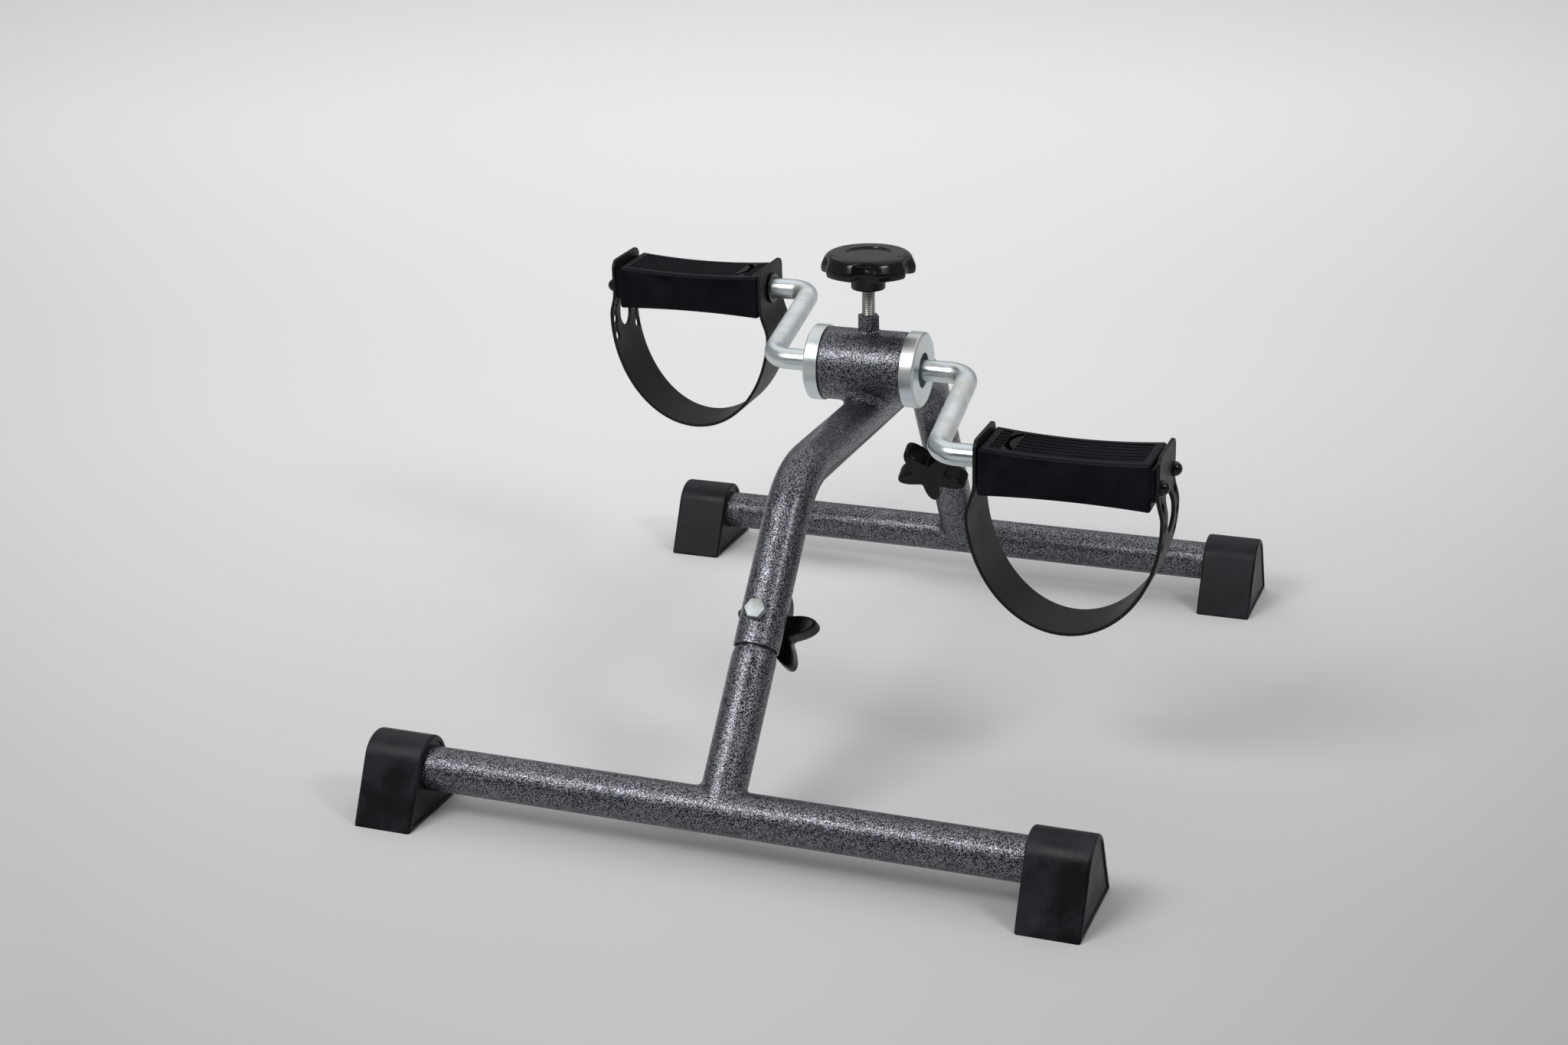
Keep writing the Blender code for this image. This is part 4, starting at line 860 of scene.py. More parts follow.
def threaded(radius, depth, pitch, start, stop, finish, sides=40):
    """A threaded bar along Z from start to stop."""
    rings = round((stop - start) / pitch * 8)
    bar = grow(THREAD, finish, {"Radius": radius, "Depth": depth, "Pitch": pitch, "Length": stop - start,
                                "Rings": rings, "Sides": sides})
    return moved(bar, Matrix.Translation((0, 0, (start + stop) / 2)))


THREAD = thread_tree()

# %% [markdown]
# The brake screw starts at the shoe that presses on the axle's drum, passes the nut and ends
# inside the knob's collar. Some sixteen millimetres of its thread show.

# %% The brake screw
DRUM_RADIUS, SHOE_THICKNESS = 0.011, 0.0042
SCREW_SHOWING, SCREW_IN_KNOB = 0.0161, 0.0125
SCREW_TIP = DRUM_RADIUS + FIT + SHOE_THICKNESS + FIT
COLLAR_BOTTOM = NUT_TOP + SCREW_SHOWING
SCREW_TOP = COLLAR_BOTTOM + SCREW_IN_KNOB

screw = threaded(SCREW_RADIUS, THREAD_DEPTH, THREAD_PITCH, SCREW_TIP, SCREW_TOP, STEEL)
piece("brake_screw", screw, STEEL, "brake_handle", ["tension_screw"], AT_HUB,
      crease=radians(80))

# %% [markdown]
# Both kinds of knob follow one rule. A round knob is turned first; then each point moves
# towards the axis by a dip that comes back evenly round the rim. Where the dip starts along
# the wave, and the power it is raised to, decide between a few narrow scallops, as on the
# brake knob, and the straight flanks of a star. The brake knob is only scalloped in its
# skirt, and the skirt's edge also rises a little in each scallop.


# %% A tree for lobed knobs
def lobe_tree():
    board, given = start_tree("lobes", ["Lobes", "Depth", "Dip Start", "Dip Power", "Turn", "Inner Radius",
                                        "Outer Radius", "Full Below", "None Above", "Lift"])
    x, y, z = board.split(board.add("GeometryNodeInputPosition"))
    radius = board.math("MAXIMUM", board.math("SQRT", x * x + y * y), 0.000001)
    angle = board.math("ARCTAN2", y, x) - given["Turn"]
    wave = 0.5 - board.math("COSINE", angle * given["Lobes"]) * 0.5
    low = board.ease(z, given["Full Below"], given["None Above"], 1.0, 0.0)
    rim = board.add("ShaderNodeMapRange",
                    values=[radius, given["Inner Radius"], given["Outer Radius"], 0.0, 1.0])
    share = board.add("ShaderNodeMapRange", values=[wave, given["Dip Start"], 1.0, 0.0, 1.0])
    dip = share ** given["Dip Power"] * low * rim
    inward = dip * given["Depth"] / radius * -1.0
    rise = dip * low * given["Lift"]
    return close_tree(board, board.shift(given["Geometry"], x * inward, y * inward, rise), given["Finish"])


LOBES = lobe_tree()

# %% [markdown]
# The brake knob is hollow below, with a collar for the screw, a rounded crown and a shallow
# round recess on top. Its line is given many short steps, so that the scallops bend it smoothly.

# %% The brake knob
KNOB_RADIUS, KNOB_TOP_RADIUS, KNOB_HEIGHT, KNOB_FLARE = 0.0285, 0.0250, 0.0125, 0.0085
KNOB_LOBES, KNOB_SCALLOP, KNOB_TURN, KNOB_LIFT = 5, 0.0033, radians(-77.0), 0.0006
SCALLOP_START, SCALLOP_POWER, SCALLOP_FULL, SCALLOP_TOP = 0.54, 1.4, 0.0048, 0.0008
KNOB_CROWN, KNOB_SKIRT, KNOB_WALL, KNOB_HOLLOW = 0.0058, 0.0016, 0.003, 0.0085
COLLAR_RADIUS, COLLAR_DROP = 0.0103, 0.0098
RECESS_RADIUS, RECESS_DEPTH = 0.0131, 0.0010
KNOB_BOTTOM = COLLAR_BOTTOM + COLLAR_DROP
KNOB_TOP = KNOB_BOTTOM + KNOB_HEIGHT


def fine(line, longest=0.0012):
    """Add points to a line so that no stretch is longer than a given length."""
    points = [line[0]]
    for first, second in zip(line, line[1:]):
        parts = max(1, round((second - first).length / longest))
        points += [first.lerp(second, part / parts) for part in range(1, parts + 1)]
    return points


knob_inside, hollow_top = KNOB_RADIUS - KNOB_WALL, KNOB_BOTTOM + KNOB_HOLLOW
knob_line = rounded([
    (0, KNOB_TOP - RECESS_DEPTH, 0), (RECESS_RADIUS, KNOB_TOP - RECESS_DEPTH, 0.0006),
    (RECESS_RADIUS + 0.0006, KNOB_TOP, 0.0005), (KNOB_TOP_RADIUS, KNOB_TOP, KNOB_CROWN),
    (KNOB_RADIUS, KNOB_TOP - KNOB_FLARE, 0.0060), (KNOB_RADIUS - 0.0006, KNOB_BOTTOM, KNOB_SKIRT),
    (knob_inside, KNOB_BOTTOM, 0.0005), (knob_inside, hollow_top, 0.001), (COLLAR_RADIUS, hollow_top, 0.001),
    (COLLAR_RADIUS, COLLAR_BOTTOM, 0.001), (SCREW_RADIUS + FIT, COLLAR_BOTTOM, 0.0004),
    (SCREW_RADIUS + FIT, SCREW_TOP + FIT, 0), (0, SCREW_TOP + FIT, 0)], steps=9)
knob = grow(LOBES, KNOB_PLASTIC, {
    "Lobes": float(KNOB_LOBES), "Depth": KNOB_SCALLOP, "Dip Start": SCALLOP_START, "Dip Power": SCALLOP_POWER,
    "Turn": KNOB_TURN + pi / KNOB_LOBES, "Inner Radius": RECESS_RADIUS + 0.002,
    "Outer Radius": KNOB_TOP_RADIUS, "Full Below": KNOB_TOP - SCALLOP_FULL,
    "None Above": KNOB_TOP - SCALLOP_TOP, "Lift": KNOB_LIFT}, turned(fine(knob_line), 240))
piece("brake_knob", knob, KNOB_PLASTIC, "brake_handle", ["tension_knob"], AT_HUB,
      crease=radians(60))

# %% [markdown]
# Each leg is held by a zinc hexagon bolt that goes through both tubes, a washer and a
# five-armed star knob. The bolt and the washer are turned and beveled, and the star is a thick
# puck whose rim dips deeply five times. The wave starts a little early, so that the dip is
# already under way at the tips; the puck is made larger by as much, and the arms end round.

# %% Leg bolts, washers and star knobs
BOLT_RADIUS, BOLT_FLATS, BOLT_HEAD = 0.003, 0.0105, 0.0042
BOLT_PITCH, BOLT_THREAD_DEPTH, BOLT_IN_STAR = 0.001, 0.0003, 0.0125
WASHER_RADIUS, WASHER_THICKNESS = 0.0085, 0.0012
STAR_REACH, STAR_VALLEY, STAR_THICKNESS, STAR_EDGE = 0.0245, 0.0112, 0.013, 0.0036
STAR_TIP, STAR_FLANK = -0.40, 0.46
STAR_BOSS_RADIUS, STAR_BOSS_HEIGHT, STAR_MIDDLE, STAR_ARMS = 0.0088, 0.004, 0.004, 5
LOCK_SEAT = UPPER_TUBE_RADIUS + FIT
STAR_FACE = LOCK_SEAT + WASHER_THICKNESS + FIT
BOLT_END = STAR_FACE + BOLT_IN_STAR
ABOVE_ALL = 1.0

for end, leg in LEGS.items():
    up_the_leg = Matrix.Translation((0, 0, leg["stub"] + LOCK_ABOVE_SEAM))
    across = leg_place(leg) @ up_the_leg @ Matrix.Rotation(pi / 2, 4, "X")
    head_middle = LOCK_SEAT + BOLT_HEAD / 2
    head = moved(plate([hexagon(BOLT_FLATS)], BOLT_HEAD, 0.0005, 3), Matrix.Translation((0, 0, head_middle)))
    shank = threaded(BOLT_RADIUS, BOLT_THREAD_DEPTH, BOLT_PITCH, -BOLT_END, head_middle, DULL_ZINC_WITH_PAINTED_SHADE, 32)
    piece(end + "_leg_bolt", together(head, shank), DULL_ZINC_WITH_PAINTED_SHADE, "frame",
          [end + "_lock_bolt"], across)
    hole, washer_far = BOLT_RADIUS + FIT, -LOCK_SEAT - WASHER_THICKNESS
    washer_line = rounded([(WASHER_RADIUS, -LOCK_SEAT, 0.0002), (WASHER_RADIUS, washer_far, 0.0003),
                           (hole, washer_far, 0.0002), (hole, -LOCK_SEAT, 0.0002)], loop=True)
    piece(end + "_leg_washer", turned(washer_line, 64, loop=True), ZINC, end + "_lock_seat",
          [end + "_lock_washer"], across)
    star_top = -STAR_FACE - STAR_BOSS_HEIGHT
    star_bottom = star_top - STAR_THICKNESS
    blunt = (-STAR_TIP / (1 - STAR_TIP)) ** STAR_FLANK
    full_depth = (STAR_REACH - STAR_VALLEY) / (1 - blunt)
    full_reach = STAR_VALLEY + full_depth
    star_line = rounded([(0, star_bottom, 0), (full_reach, star_bottom, STAR_EDGE),
                         (full_reach, star_top, STAR_EDGE), (STAR_BOSS_RADIUS, star_top, 0.0008),
                         (STAR_BOSS_RADIUS, -STAR_FACE, 0.0006), (hole, -STAR_FACE, 0.0003),
                         (hole, -BOLT_END - FIT, 0), (0, -BOLT_END - FIT, 0)], steps=8)
    star = grow(LOBES, STAR_PLASTIC, {
        "Lobes": float(STAR_ARMS), "Depth": full_depth, "Dip Start": STAR_TIP, "Dip Power": STAR_FLANK,
        "Turn": leg["knob_turn"], "Inner Radius": STAR_MIDDLE, "Outer Radius": full_reach,
        "Full Below": ABOVE_ALL, "None Above": 2 * ABOVE_ALL, "Lift": 0.0,
    }, turned(fine(star_line, 0.0015), 300))
    piece(end + "_star_knob", star, STAR_PLASTIC, end + "_lock_handle",
          [end + "_lock_knob"], across, crease=radians(60))

# %% [markdown]
# A pedal is a hollow moulded block, a little saddle-shaped: its top dips, its sides swell and
# its underside has pockets. The block starts as a box with rounded edges. Cuts across it mark
# out the sunk fields of the tread and the pockets, the fields are pushed in, and only then
# does a rule bend the whole into the saddle.

# %% Pedal blocks
PEDAL_DROP, PEDAL_DIP, PEDAL_BOW, PEDAL_WAIST, PEDAL_CAMBER = 0.002, 0.0023, 0.0012, 0.0011, 0.0007
PEDAL_TILT = radians(1.5)
PEDAL_TOP = PEDAL_THICKNESS / 2 - PEDAL_DROP
PEDAL_BOTTOM = -PEDAL_THICKNESS / 2 - PEDAL_DROP
TREAD_END, TREAD_SHORT, TREAD_LAND, TREAD_DEPTH = 0.0055, 0.0060, 0.0075, 0.0026
TREAD_RIBS, TREAD_PITCH, TREAD_GROOVE = 6, 0.0050, 0.0021
TREAD_HALF = TREAD_RIBS / 2 * TREAD_PITCH + TREAD_GROOVE / 2
POCKET_DEPTH, POCKET_WALL, POCKET_COUNT, BARREL = 0.0125, 0.0032, 3, 0.0105
CRESCENT_LENGTH, CRESCENT_DEPTH, CRESCENT_WIDTH, CRESCENT_BULGE = 0.0290, 0.0046, 0.0032, 0.0060
SHORT_START = -PEDAL_END + TREAD_END
LONG_START = SHORT_START + TREAD_SHORT + TREAD_LAND
LONG_END = PEDAL_END - TREAD_END
TREAD_FIELDS = ((SHORT_START, SHORT_START + TREAD_SHORT), (LONG_START, LONG_END))
SLEEVE_BARREL, RETAINER_HOLE = 0.0082, 0.0080
DIP_STEP = 0.004
DIP_SLICES = [number * DIP_STEP for number in range(-11, 12)]
HEIGHT_SLICES = (-0.012, -0.007, -0.002, 0.003, 0.0065)


def slice_across(bm, axis, places):
    """Cut rows of edges into a mesh at places along an axis, 0 for X, 1 for Y and 2 for Z."""
    normal = Vector([float(number == axis) for number in range(3)])
    for place in places:
        bmesh.ops.bisect_plane(bm, geom=bm.verts[:] + bm.edges[:] + bm.faces[:], plane_co=normal * place,
                               plane_no=normal)


def bevel_sharp(bm, width, segments, angle):
    sharp = [edge for edge in bm.edges if edge.calc_face_angle(0.0) > angle]
    bmesh.ops.bevel(bm, geom=sharp, offset=width, segments=segments, profile=0.5, affect="EDGES",
                    clamp_overlap=True)


def sink(bm, low, high, depth):
    """Push the faces between two corners of a level in by a depth, with upright walls."""
    faces = [face for face in bm.faces if abs(face.normal.z) > 0.99
             and all(low[axis] < face.calc_center_median()[axis] < high[axis] for axis in range(3))]
    made = bmesh.ops.extrude_face_region(bm, geom=faces)["geom"]
    corners = [item for item in made if isinstance(item, bmesh.types.BMVert)]
    bmesh.ops.delete(bm, geom=[face for face in faces if face.is_valid], context="FACES_ONLY")
    bmesh.ops.translate(bm, verts=corners, vec=(0, 0, depth))


def saddle(point):
    """Bend a point of the straight block into the saddle."""
    fall = 1 - min((point.x / PEDAL_END) ** 2, 1.0)
    height = (point.z + PEDAL_DROP) / (PEDAL_THICKNESS / 2)
    sideways = point.y / (PEDAL_DEPTH / 2)
    rise = -PEDAL_DIP * max(height, 0.0) + PEDAL_BOW * max(-height, 0.0)
    inward = PEDAL_WAIST * fall * (0.5 + 0.5 * height * height) + PEDAL_CAMBER * height * height
    return Vector((point.x, point.y - sideways * inward, point.z + fall * rise))


def crescent():
    half = CRESCENT_LENGTH / 2
    radius = (half ** 2 + CRESCENT_BULGE ** 2) / (2 * CRESCENT_BULGE)
    sweep = asin(half / radius)
    centre = (SHORT_START + TREAD_SHORT + TREAD_LAND / 2 + radius - CRESCENT_BULGE / 2, 0)
    outline = arc(centre, radius + CRESCENT_WIDTH / 2, pi - sweep, pi + sweep, 24)
    outline += arc(centre, radius - CRESCENT_WIDTH / 2, pi + sweep, pi - sweep, 24)
    return moved(plate([outline], 2 * CRESCENT_DEPTH), Matrix.Translation((0, 0, PEDAL_TOP)))


def pedal_block():
    half_depth = PEDAL_DEPTH / 2
    block = box((-PEDAL_END, -half_depth, PEDAL_BOTTOM), (PEDAL_END, half_depth, PEDAL_TOP))
    bevel_sharp(block, 0.0020, 5, radians(50))
    pocket_length = (PEDAL_LENGTH - 2 * SLEEVE_DEPTH - POCKET_WALL * (POCKET_COUNT - 1)) / POCKET_COUNT
    pocket_outer = half_depth - PEDAL_WAIST - POCKET_WALL
    starts = [(number - POCKET_COUNT / 2) * pocket_length + (number - (POCKET_COUNT - 1) / 2) * POCKET_WALL
              for number in range(POCKET_COUNT)]
    pocket_edges = [place for start in starts for place in (start, start + pocket_length)]
    slice_across(block, 0, [place for field in TREAD_FIELDS for place in field] + pocket_edges)
    slice_across(block, 1, (-TREAD_HALF, TREAD_HALF, -pocket_outer, -BARREL, BARREL, pocket_outer))
    near = 0.0001
    for start, stop in TREAD_FIELDS:
        sink(block, (start, -TREAD_HALF, PEDAL_TOP - near),
             (stop, TREAD_HALF, PEDAL_TOP + near), -TREAD_DEPTH)
    for start in starts:
        for low, high in ((-pocket_outer, -BARREL), (BARREL, pocket_outer)):
            sink(block, (start, low, PEDAL_BOTTOM - near),
                 (start + pocket_length, high, PEDAL_BOTTOM + near), POCKET_DEPTH)
    bevel_sharp(block, 0.0004, 2, radians(50))
    return block


def finished_block():
    bore = moved(rod(PIN_RADIUS + FIT, -PEDAL_LENGTH, PEDAL_LENGTH, 48), TO_X)
    inner = moved(rod(SLEEVE_BARREL + FIT, -PEDAL_LENGTH, -PEDAL_END + SLEEVE_DEPTH, 48), TO_X)
    outer = moved(rod(RETAINER_HOLE + FIT, PEDAL_END - RETAINER_POCKET, PEDAL_LENGTH, 48), TO_X)
    block = carved(pedal_block(), crescent())
    slice_across(block, 0, DIP_SLICES)
    slice_across(block, 2, HEIGHT_SLICES)
    for corner in block.verts:
        corner.co = saddle(corner.co)
    return carved(block, bore, inner, outer)


# %% [markdown]
# The tread's ribs repeat across the block. A rib is a little narrower than the space between
# two grooves, and its top is nearly round. The tree sets copies of it on a row of points,
# makes them real, and then lets each point fall with the saddle, so that the ribs follow the
# dip of the top.


# %% A tree for tread ribs
def rib_tree():
    board, given = start_tree("tread_ribs", ["Pitch", "First", "Dip", "Half Length"], ["Ribs"])
    row = board.add("GeometryNodeMeshLine", values={"Count": given["Ribs"],
                                                    "Start Location": board.join(0.0, given["First"], 0.0),
                                                    "Offset": board.join(0.0, given["Pitch"], 0.0)})
    ribs = board.add("GeometryNodeInstanceOnPoints", values={"Points": row, "Instance": given["Geometry"]})
    real = board.add("GeometryNodeRealizeInstances", values=[ribs])
    x, _, _ = board.split(board.add("GeometryNodeInputPosition"))
    along = x / given["Half Length"]
    fall = (1 - along * along) * given["Dip"] * -1.0
    return close_tree(board, board.shift(real, 0.0, 0.0, fall), given["Finish"])


RIBS = rib_tree()
RIB_WIDTH, RIB_OVERLAP = (TREAD_PITCH - TREAD_GROOVE) * 0.85, 0.0005


def tread_row(start, stop):
    """Ribs of one field, between two places along the block."""
    half, low, crest = RIB_WIDTH / 2, TREAD_DEPTH / 2, RIB_WIDTH * 0.48
    line = rounded([(-half, -low, 0), (half, -low, 0), (half, low, crest), (-half, low, crest)], loop=True)
    rib = moved(plate([[tuple(point) for point in line]], stop - start), STAND_ON_X)
    moved(rib, Matrix.Translation(((start + stop) / 2, 0, PEDAL_TOP - low)))
    slice_across(rib, 0, DIP_SLICES)
    first = -TREAD_PITCH * (TREAD_RIBS - 1) / 2
    return grow(RIBS, PEDAL_PLASTIC, {"Ribs": TREAD_RIBS, "Pitch": TREAD_PITCH, "First": first,
                                      "Dip": PEDAL_DIP, "Half Length": PEDAL_END}, rib)


# %% [markdown]
# The strap is a moulded flexible plastic band, punched flat and then bent, so it is built the
# same way. The flat blank is an outline with its holes: two rows of round holes joined by
# slits, which snap over the studs, a long slot between them, and one hole for the crank's
# sleeve. Thin slices across the blank let it bend smoothly along its path.

# %% Foot straps
STRAP_THICKNESS, STRAP_DROP, STRAP_BELLY, STRAP_SPRING = 0.002, 0.0945, 0.0065, 0.0215
STRAP_BULGE = PEDAL_END + STRAP_BELLY
STRAP_TAB_START, STRAP_TAB_RISE, STRAP_TAB_CORNER = 0.006, 0.0160, 0.0060
STRAP_END_WIDTH, STRAP_MIDDLE_WIDTH, STRAP_SLICES = 0.041, 0.0355, 160
INNER_TAB_START, INNER_SPRING = 0.0085, 0.031
PAD_THICKNESS, PAD_WIDTH, PAD_HEIGHT, PAD_ROOT, PAD_EDGE = 0.0024, 0.040, 0.019, 0.004, 0.0008
SLEEVE_FLANGE, SLEEVE_FLANGE_WIDTH = 0.0098, 0.0016
STUD_OFFSET, STUD_LEVEL, STUD_ROOT = 0.0158, -0.0018, 0.006
STUD_STEM, STUD_HEAD, STUD_CROWN = 0.002, 0.0042, 0.0045
HOLE_PITCH, HOLE_COUNT, HOLE_RADIUS, SLIT_WIDTH = 0.0115, 4, 0.0027, 0.0013
SLOT_TOP, SLOT_BOTTOM, SLOT_WIDTH = 0.009, 0.0320, 0.0160
PAD_END = PEDAL_END + PAD_THICKNESS
INNER_TAB = PEDAL_END + FIT + STRAP_THICKNESS / 2
OUTER_TAB = PAD_END + FIT + STRAP_THICKNESS / 2
BELLY_DEPTH = STRAP_DROP - STRAP_THICKNESS / 2 - STRAP_SPRING
BELLY_RUN = pi / 2 * sqrt((STRAP_BULGE ** 2 + BELLY_DEPTH ** 2) / 2)
STRAP_RUN = BELLY_RUN + STRAP_SPRING + STRAP_TAB_RISE


def strap_point(run):
    """Place (x, z) of the strap's middle line at a signed distance from its lowest point."""
    reach = abs(run)
    if reach < BELLY_RUN:
        angle = reach / BELLY_RUN * pi / 2
        x, z = STRAP_BULGE * sin(angle), -STRAP_SPRING - BELLY_DEPTH * cos(angle)
    else:
        x, z = STRAP_BULGE, reach - BELLY_RUN - STRAP_SPRING
    tab, start, stop = INNER_TAB, INNER_TAB_START, INNER_SPRING
    if run > 0:
        tab, start, stop = OUTER_TAB, STRAP_TAB_START, STRAP_SPRING
    share = min(max((z + stop) / (stop - start), 0.0), 1.0)
    x += (tab - x) * (0.5 - 0.5 * cos(share * pi))
    return Vector((x if run > 0 else -x, z))


def strap_width(run):
    reach = abs(run)
    if reach < BELLY_RUN:
        share = 0.5 - 0.5 * cos(reach / BELLY_RUN * pi)
        return STRAP_MIDDLE_WIDTH + (STRAP_END_WIDTH - STRAP_MIDDLE_WIDTH) * share
    z = reach - BELLY_RUN - STRAP_SPRING
    past = min(max(z - STRAP_TAB_RISE + STRAP_TAB_CORNER, 0.0), STRAP_TAB_CORNER)
    return STRAP_END_WIDTH - 2 * (STRAP_TAB_CORNER - sqrt(STRAP_TAB_CORNER ** 2 - past ** 2))


def run_at(z):
    """The distance along the outer half at which the strap is at a height."""
    low, high = 0.0, STRAP_RUN
    for _ in range(40):
        middle = (low + high) / 2
        low, high = (middle, high) if strap_point(middle).y < z else (low, middle)
    return low


def keyhole_row(y):
    """The outline of a row of round holes that slits join."""
    centres = [run_at(STUD_LEVEL - number * HOLE_PITCH) for number in range(HOLE_COUNT)]
    gap = asin(SLIT_WIDTH / 2 / HOLE_RADIUS)
    outline = []
    for number, run in enumerate(centres):
        outline += arc((run, y), HOLE_RADIUS, gap if number else 0.0,
                       pi if number == HOLE_COUNT - 1 else pi - gap, 10)
    for number, run in reversed(list(enumerate(centres))):
        outline += arc((run, y), HOLE_RADIUS, pi if number == HOLE_COUNT - 1 else pi + gap,
                       2 * pi - gap if number else 2 * pi - 0.3, 10)
    return outline


def strap():
    straight = STRAP_RUN - STRAP_TAB_CORNER
    corner = [straight + STRAP_TAB_CORNER * sin(pi / 2 * step / 10) for step in range(1, 11)]
    between = [straight * number / 110 for number in range(-110, 111)]
    edge = [(run, strap_width(run) / 2) for run in [-run for run in reversed(corner)] + between + corner]
    outline = edge + [(run, -y) for run, y in reversed(edge)]
    slot_half = SLOT_WIDTH / 2
    slot = arc((run_at(-SLOT_TOP - slot_half), 0), slot_half, -pi / 2, pi / 2, 12)
    slot += arc((run_at(-SLOT_BOTTOM + slot_half), 0), slot_half, pi / 2, 3 * pi / 2, 12)
    sleeve_hole = arc((-BELLY_RUN - STRAP_SPRING, 0), SLEEVE_BARREL + FIT, 0, 2 * pi * 47 / 48, 47)
    blank = plate([outline, keyhole_row(-STUD_OFFSET), keyhole_row(STUD_OFFSET), slot, sleeve_hole],
                  STRAP_THICKNESS, 0.0004, 2)
    slice_across(blank, 0, [-STRAP_RUN + 2 * STRAP_RUN * number / STRAP_SLICES
                            for number in range(1, STRAP_SLICES)])
    nudge = 0.00005
    for corner in blank.verts:
        run, y, out = corner.co
        here = strap_point(run)
        along = (strap_point(run + nudge) - strap_point(run - nudge)).normalized()
        corner.co = (here.x + along.y * out, y, here.y - along.x * out)
    return blank


# %% [markdown]
# Two mushroom studs on the block's end pad hold the strap's outer end, and a flanged sleeve
# round the crank holds its inner end. All of these are turned. The left pedal is the right
# one turned round, and each is tilted by the same small angle.


# %% Assemble both pedals
def stud(y):
    """A mushroom stud through the strap into the pedal's end pad."""
    seat = PAD_END + 2 * FIT + STRAP_THICKNESS
    crown = [(STUD_HEAD * sin(angle), seat + STUD_CROWN * cos(angle))
             for angle in (pi / 2 * step / 10 for step in range(11))]
    line = crown + [(STUD_STEM, seat), (STUD_STEM, PAD_END - STUD_ROOT), (0, PAD_END - STUD_ROOT)]
    return moved(turned(line, 40), Matrix.Translation((0, y, STUD_LEVEL)) @ TO_X)


def sleeve():
    """The flanged sleeve that the crank enters; its flange holds the strap's inner end."""
    seat = PEDAL_END + 2 * FIT + STRAP_THICKNESS
    face, inner = seat + SLEEVE_FLANGE_WIDTH, PEDAL_END - SLEEVE_DEPTH + FIT
    bore = ROD_RADIUS + FIT
    line = rounded([(SLEEVE_FLANGE, face, 0.0006), (SLEEVE_FLANGE, seat, 0.0003), (SLEEVE_BARREL, seat, 0),
                    (SLEEVE_BARREL, inner, 0), (bore, inner, 0), (bore, face, 0.0006)], loop=True)
    return moved(turned(line, 72, loop=True), Matrix.Rotation(pi, 4, "Z") @ TO_X)


for side, turn in SIDES.items():
    way = 1 if side == "right" else -1
    body = side + "_pedal"
    lean = (PEDAL_TILT - CRANK_ANGLE) * way
    middle = Matrix.Translation((PEDAL_CENTRE_X * way, -CRANK_LENGTH * way, 0))
    place = AT_CRANK @ middle @ Matrix.Rotation(turn, 4, "Z") @ Matrix.Rotation(lean, 4, "X")
    ribs = together(*[tread_row(start - RIB_OVERLAP, stop + RIB_OVERLAP) for start, stop in TREAD_FIELDS])
    pad = box((PEDAL_END - PAD_ROOT, -PAD_WIDTH / 2, -PAD_HEIGHT / 2),
              (PAD_END, PAD_WIDTH / 2, PAD_HEIGHT / 2))
    bevel_sharp(pad, PAD_EDGE, 3, radians(50))
    pad = carved(pad, moved(rod(RETAINER_HOLE + FIT, 0, PEDAL_LENGTH, 48), TO_X),
                 *[moved(rod(STUD_STEM + FIT, 0, PEDAL_LENGTH, 24),
                         Matrix.Translation((0, y, STUD_LEVEL)) @ TO_X) for y in (-STUD_OFFSET, STUD_OFFSET)])
    piece("ribbed_block_" + side, together(finished_block(), ribs, pad), PEDAL_PLASTIC, body,
          ["pedal_block_" + side], place)
    piece("foot_strap_" + side, strap(), STRAP_PLASTIC, body, ["pedal_strap_" + side], place)
    piece("crank_sleeve_" + side, sleeve(), KNOB_PLASTIC, body,
          ["pedal_sleeve_" + side], place)
    for name, y in (("first", -STUD_OFFSET), ("second", STUD_OFFSET)):
        piece(f"stud_{name}_{side}", stud(y), KNOB_PLASTIC, body,
              [f"strap_stud_{name}_{side}"], place)

# %% [markdown]
# A few solids are hidden inside the hub and the pedals. They keep their own shape and get a
# finish in their material slot.

# %% Hidden solids
HIDDEN = {"brake_drum": NYLON, "brake_shoe": NYLON, "pin_retainer_right": ZINC, "pin_retainer_left": ZINC}
for name, finish in HIDDEN.items():
    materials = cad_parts[name].data.materials
    materials.clear()
    materials.append(finish)

# %% [markdown]
# The object stands on pale grey paper. The paper's colour carries painted shade: it is darkest
# along a strip just in front of the exerciser and brighter behind it and again towards the
# camera, and a little darker towards the sides. Emission paints light on it as well: the paper
# glows faintly far behind and far in front, though it is no lamp. All of this goes by a point's
# own place, in depth and sideways as the camera faces, so it stays put from every side.


# %% Floor
AZIMUTH = radians(20.798)


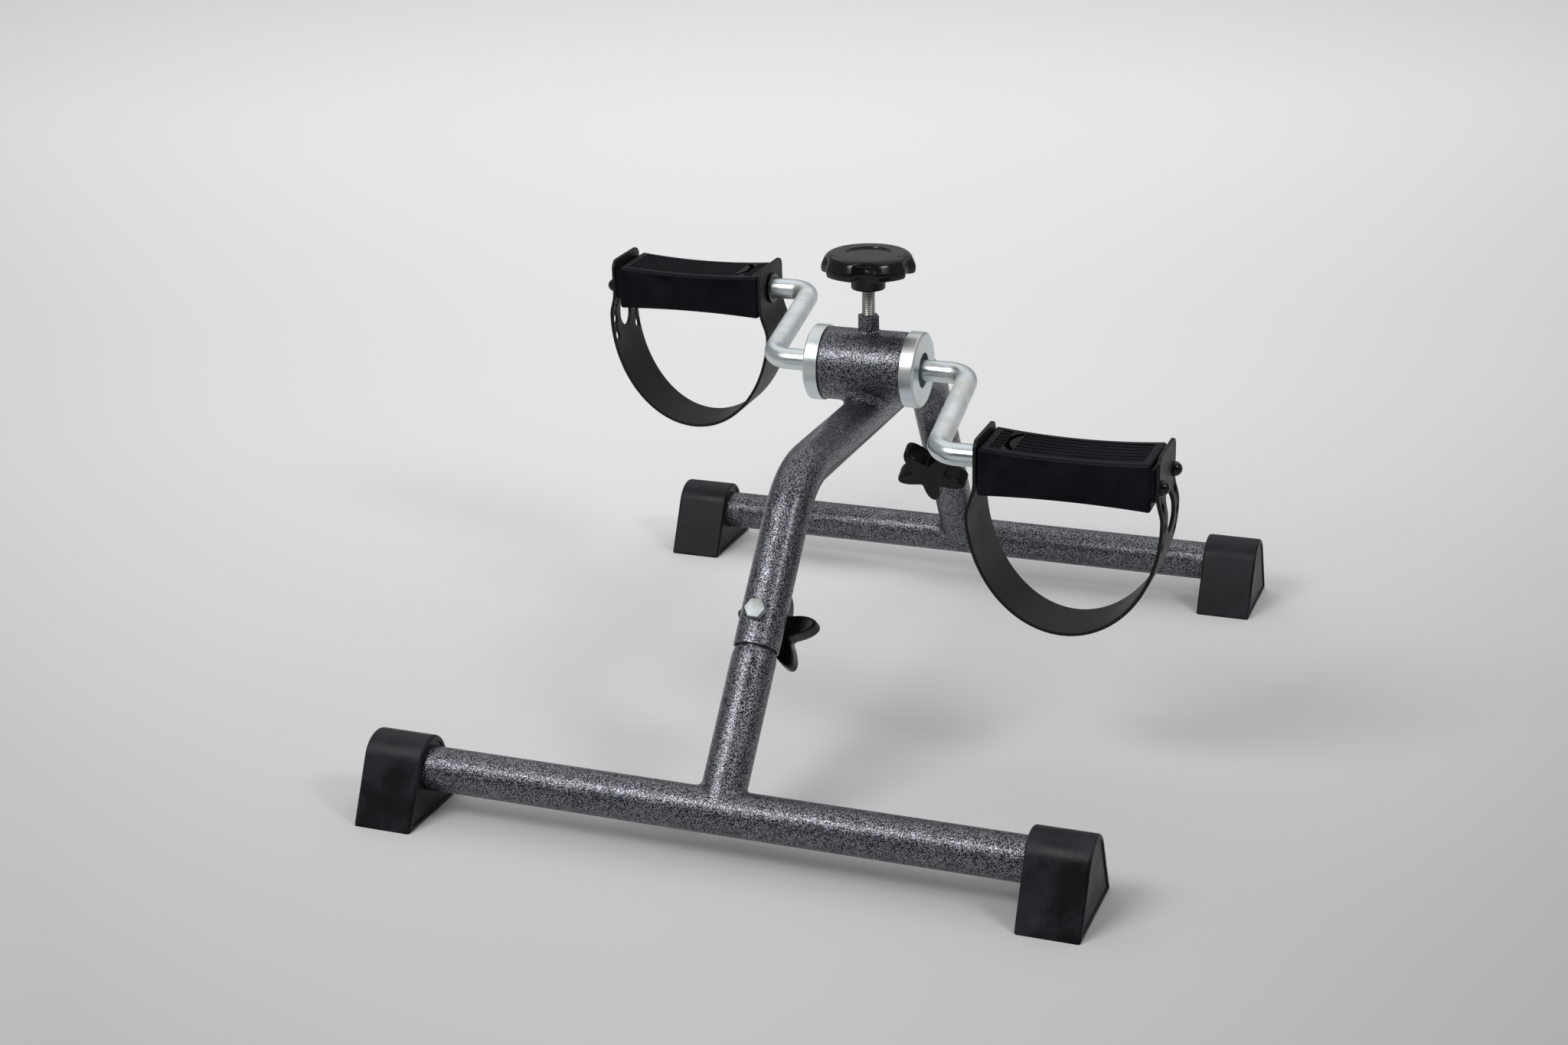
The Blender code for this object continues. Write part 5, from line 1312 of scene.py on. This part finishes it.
def pale_floor():
    material, board, place = start_finish("pale_floor")
    x, y, _ = board.split(place)
    depth = y * cos(AZIMUTH) - x * sin(AZIMUTH)
    sideways = x * cos(AZIMUTH) + y * sin(AZIMUTH)
    # Painted shade: this factor darkens the paper's colour towards the sides.
    slant = sideways / board.math("MAXIMUM", depth + 1.4, 0.5) + 0.03
    edge = 1.0 - board.math("MINIMUM", slant * slant * 1.3, 0.16) * board.ease(depth, -1.1, -0.6)
    cloud = board.noise(place, 2.2, 2.0)
    # The paper's own tone with painted shade: darkest in a strip in front of the exerciser, brighter behind
    # it and towards the camera.
    paper_tone_and_painted_shade = board.ease(depth, -0.80, 0.75, 0.42, 0.90) + board.ease(depth, -1.7, -0.5, 0.42, 0.0)
    shade = (paper_tone_and_painted_shade + cloud * 0.02) * edge
    # Painted light: emission makes the paper glow faintly far behind and far in front, though it is no lamp.
    glow = (board.ease(depth, -0.3, 2.2, 0.0, 0.30) + board.ease(depth, -2.6, -0.8, 0.28, 0.0)) * edge
    return close_finish(material, board, {
        "Base Color": board.join(shade, shade, shade * 0.995),
        "Roughness": 0.75,
        "Emission Color": board.join(glow, glow, glow),
        "Emission Strength": 1.0,
    })


floor_mesh = bpy.data.meshes.new("floor")
floor_bm = bmesh.new()
bmesh.ops.create_grid(floor_bm, x_segments=8, y_segments=8, size=12.0)
floor_bm.to_mesh(floor_mesh)
floor_bm.free()
floor_mesh.materials.append(pale_floor())
floor = placed("floor", floor_mesh)

# %% [markdown]
# A broad lamp hangs overhead and behind, and two softboxes in front, one on each side, leave
# the pair of glints on the knob. The world is pale behind the exerciser and beside it and dark
# behind the camera, so that round metal mirrors both a pale and a dark part.

# %% Lamps and world
LAMP_AIM = Vector((0, 0, 0.12))


def soft_lamp(name, place, size, watts):
    """A soft area lamp that faces the exerciser."""
    light = bpy.data.lights.new(name, "AREA")
    light.shape = "RECTANGLE"
    light.size, light.size_y = size
    light.energy = watts
    lamp = placed(name, light)
    lamp.location = place
    lamp.rotation_mode = "QUATERNION"
    lamp.rotation_quaternion = (Vector(place) - LAMP_AIM).to_track_quat("Z", "Y")


soft_lamp("ceiling_lamp", (-0.2, 1.3, 3.0), (5.0, 4.0), 41.0)
soft_lamp("left_softbox", (-0.46, -1.04, 1.20), (0.72, 0.52), 12.0)
soft_lamp("right_softbox", (1.20, -0.55, 1.25), (0.40, 0.36), 6.0)


def dim_room():
    """A world that is pale behind the exerciser and dark behind the camera."""
    world = bpy.data.worlds.new("dim_room")
    world.use_nodes = True
    world.node_tree.nodes.clear()
    board = Board(world.node_tree)
    x, y, z = board.split(board.add("ShaderNodeTexCoord", output="Generated"))
    away = y * cos(AZIMUTH) - x * sin(AZIMUTH)
    wall = board.ease(away, -0.88, -0.18, 0.02, 0.33)
    light = wall + board.ease(z, 0.2, 0.9, 0.0, 1.0) * (0.26 - wall * 0.8)
    glow = board.add("ShaderNodeBackground", values={"Color": (0.95, 0.97, 1.0, 1.0), "Strength": light})
    output = world.node_tree.nodes.new("ShaderNodeOutputWorld")
    world.node_tree.links.new(glow.socket, output.inputs["Surface"])
    return world


bpy.context.scene.world = dim_room()
bpy.context.scene.view_settings.view_transform = "Standard"

# %% [markdown]
# The camera stands where the photograph was taken from, in front, to the right and above,
# with a slight roll. Its own right, up and back are worked out from three angles; the first
# of them also turns the floor's pattern and the world.

# %% Camera
ELEVATION, ROLL = radians(19.780), radians(-1.008)
CAMERA_PLACE = (0.45819693, -1.32833579, 0.61911464)
back = Vector((sin(AZIMUTH) * cos(ELEVATION), -cos(AZIMUTH) * cos(ELEVATION), sin(ELEVATION)))
right = Vector((cos(AZIMUTH), sin(AZIMUTH), 0.0))
up = back.cross(right)
rolled_right = right * cos(ROLL) + up * sin(ROLL)
rolled_up = up * cos(ROLL) - right * sin(ROLL)
camera_data = bpy.data.cameras.new("camera")
camera_data.sensor_width = 36.0
camera_data.lens = 56.628
camera = placed("camera", camera_data)
facing = Matrix((rolled_right, rolled_up, back)).transposed().to_4x4()
camera.matrix_world = Matrix.Translation(CAMERA_PLACE) @ facing
bpy.context.scene.camera = camera
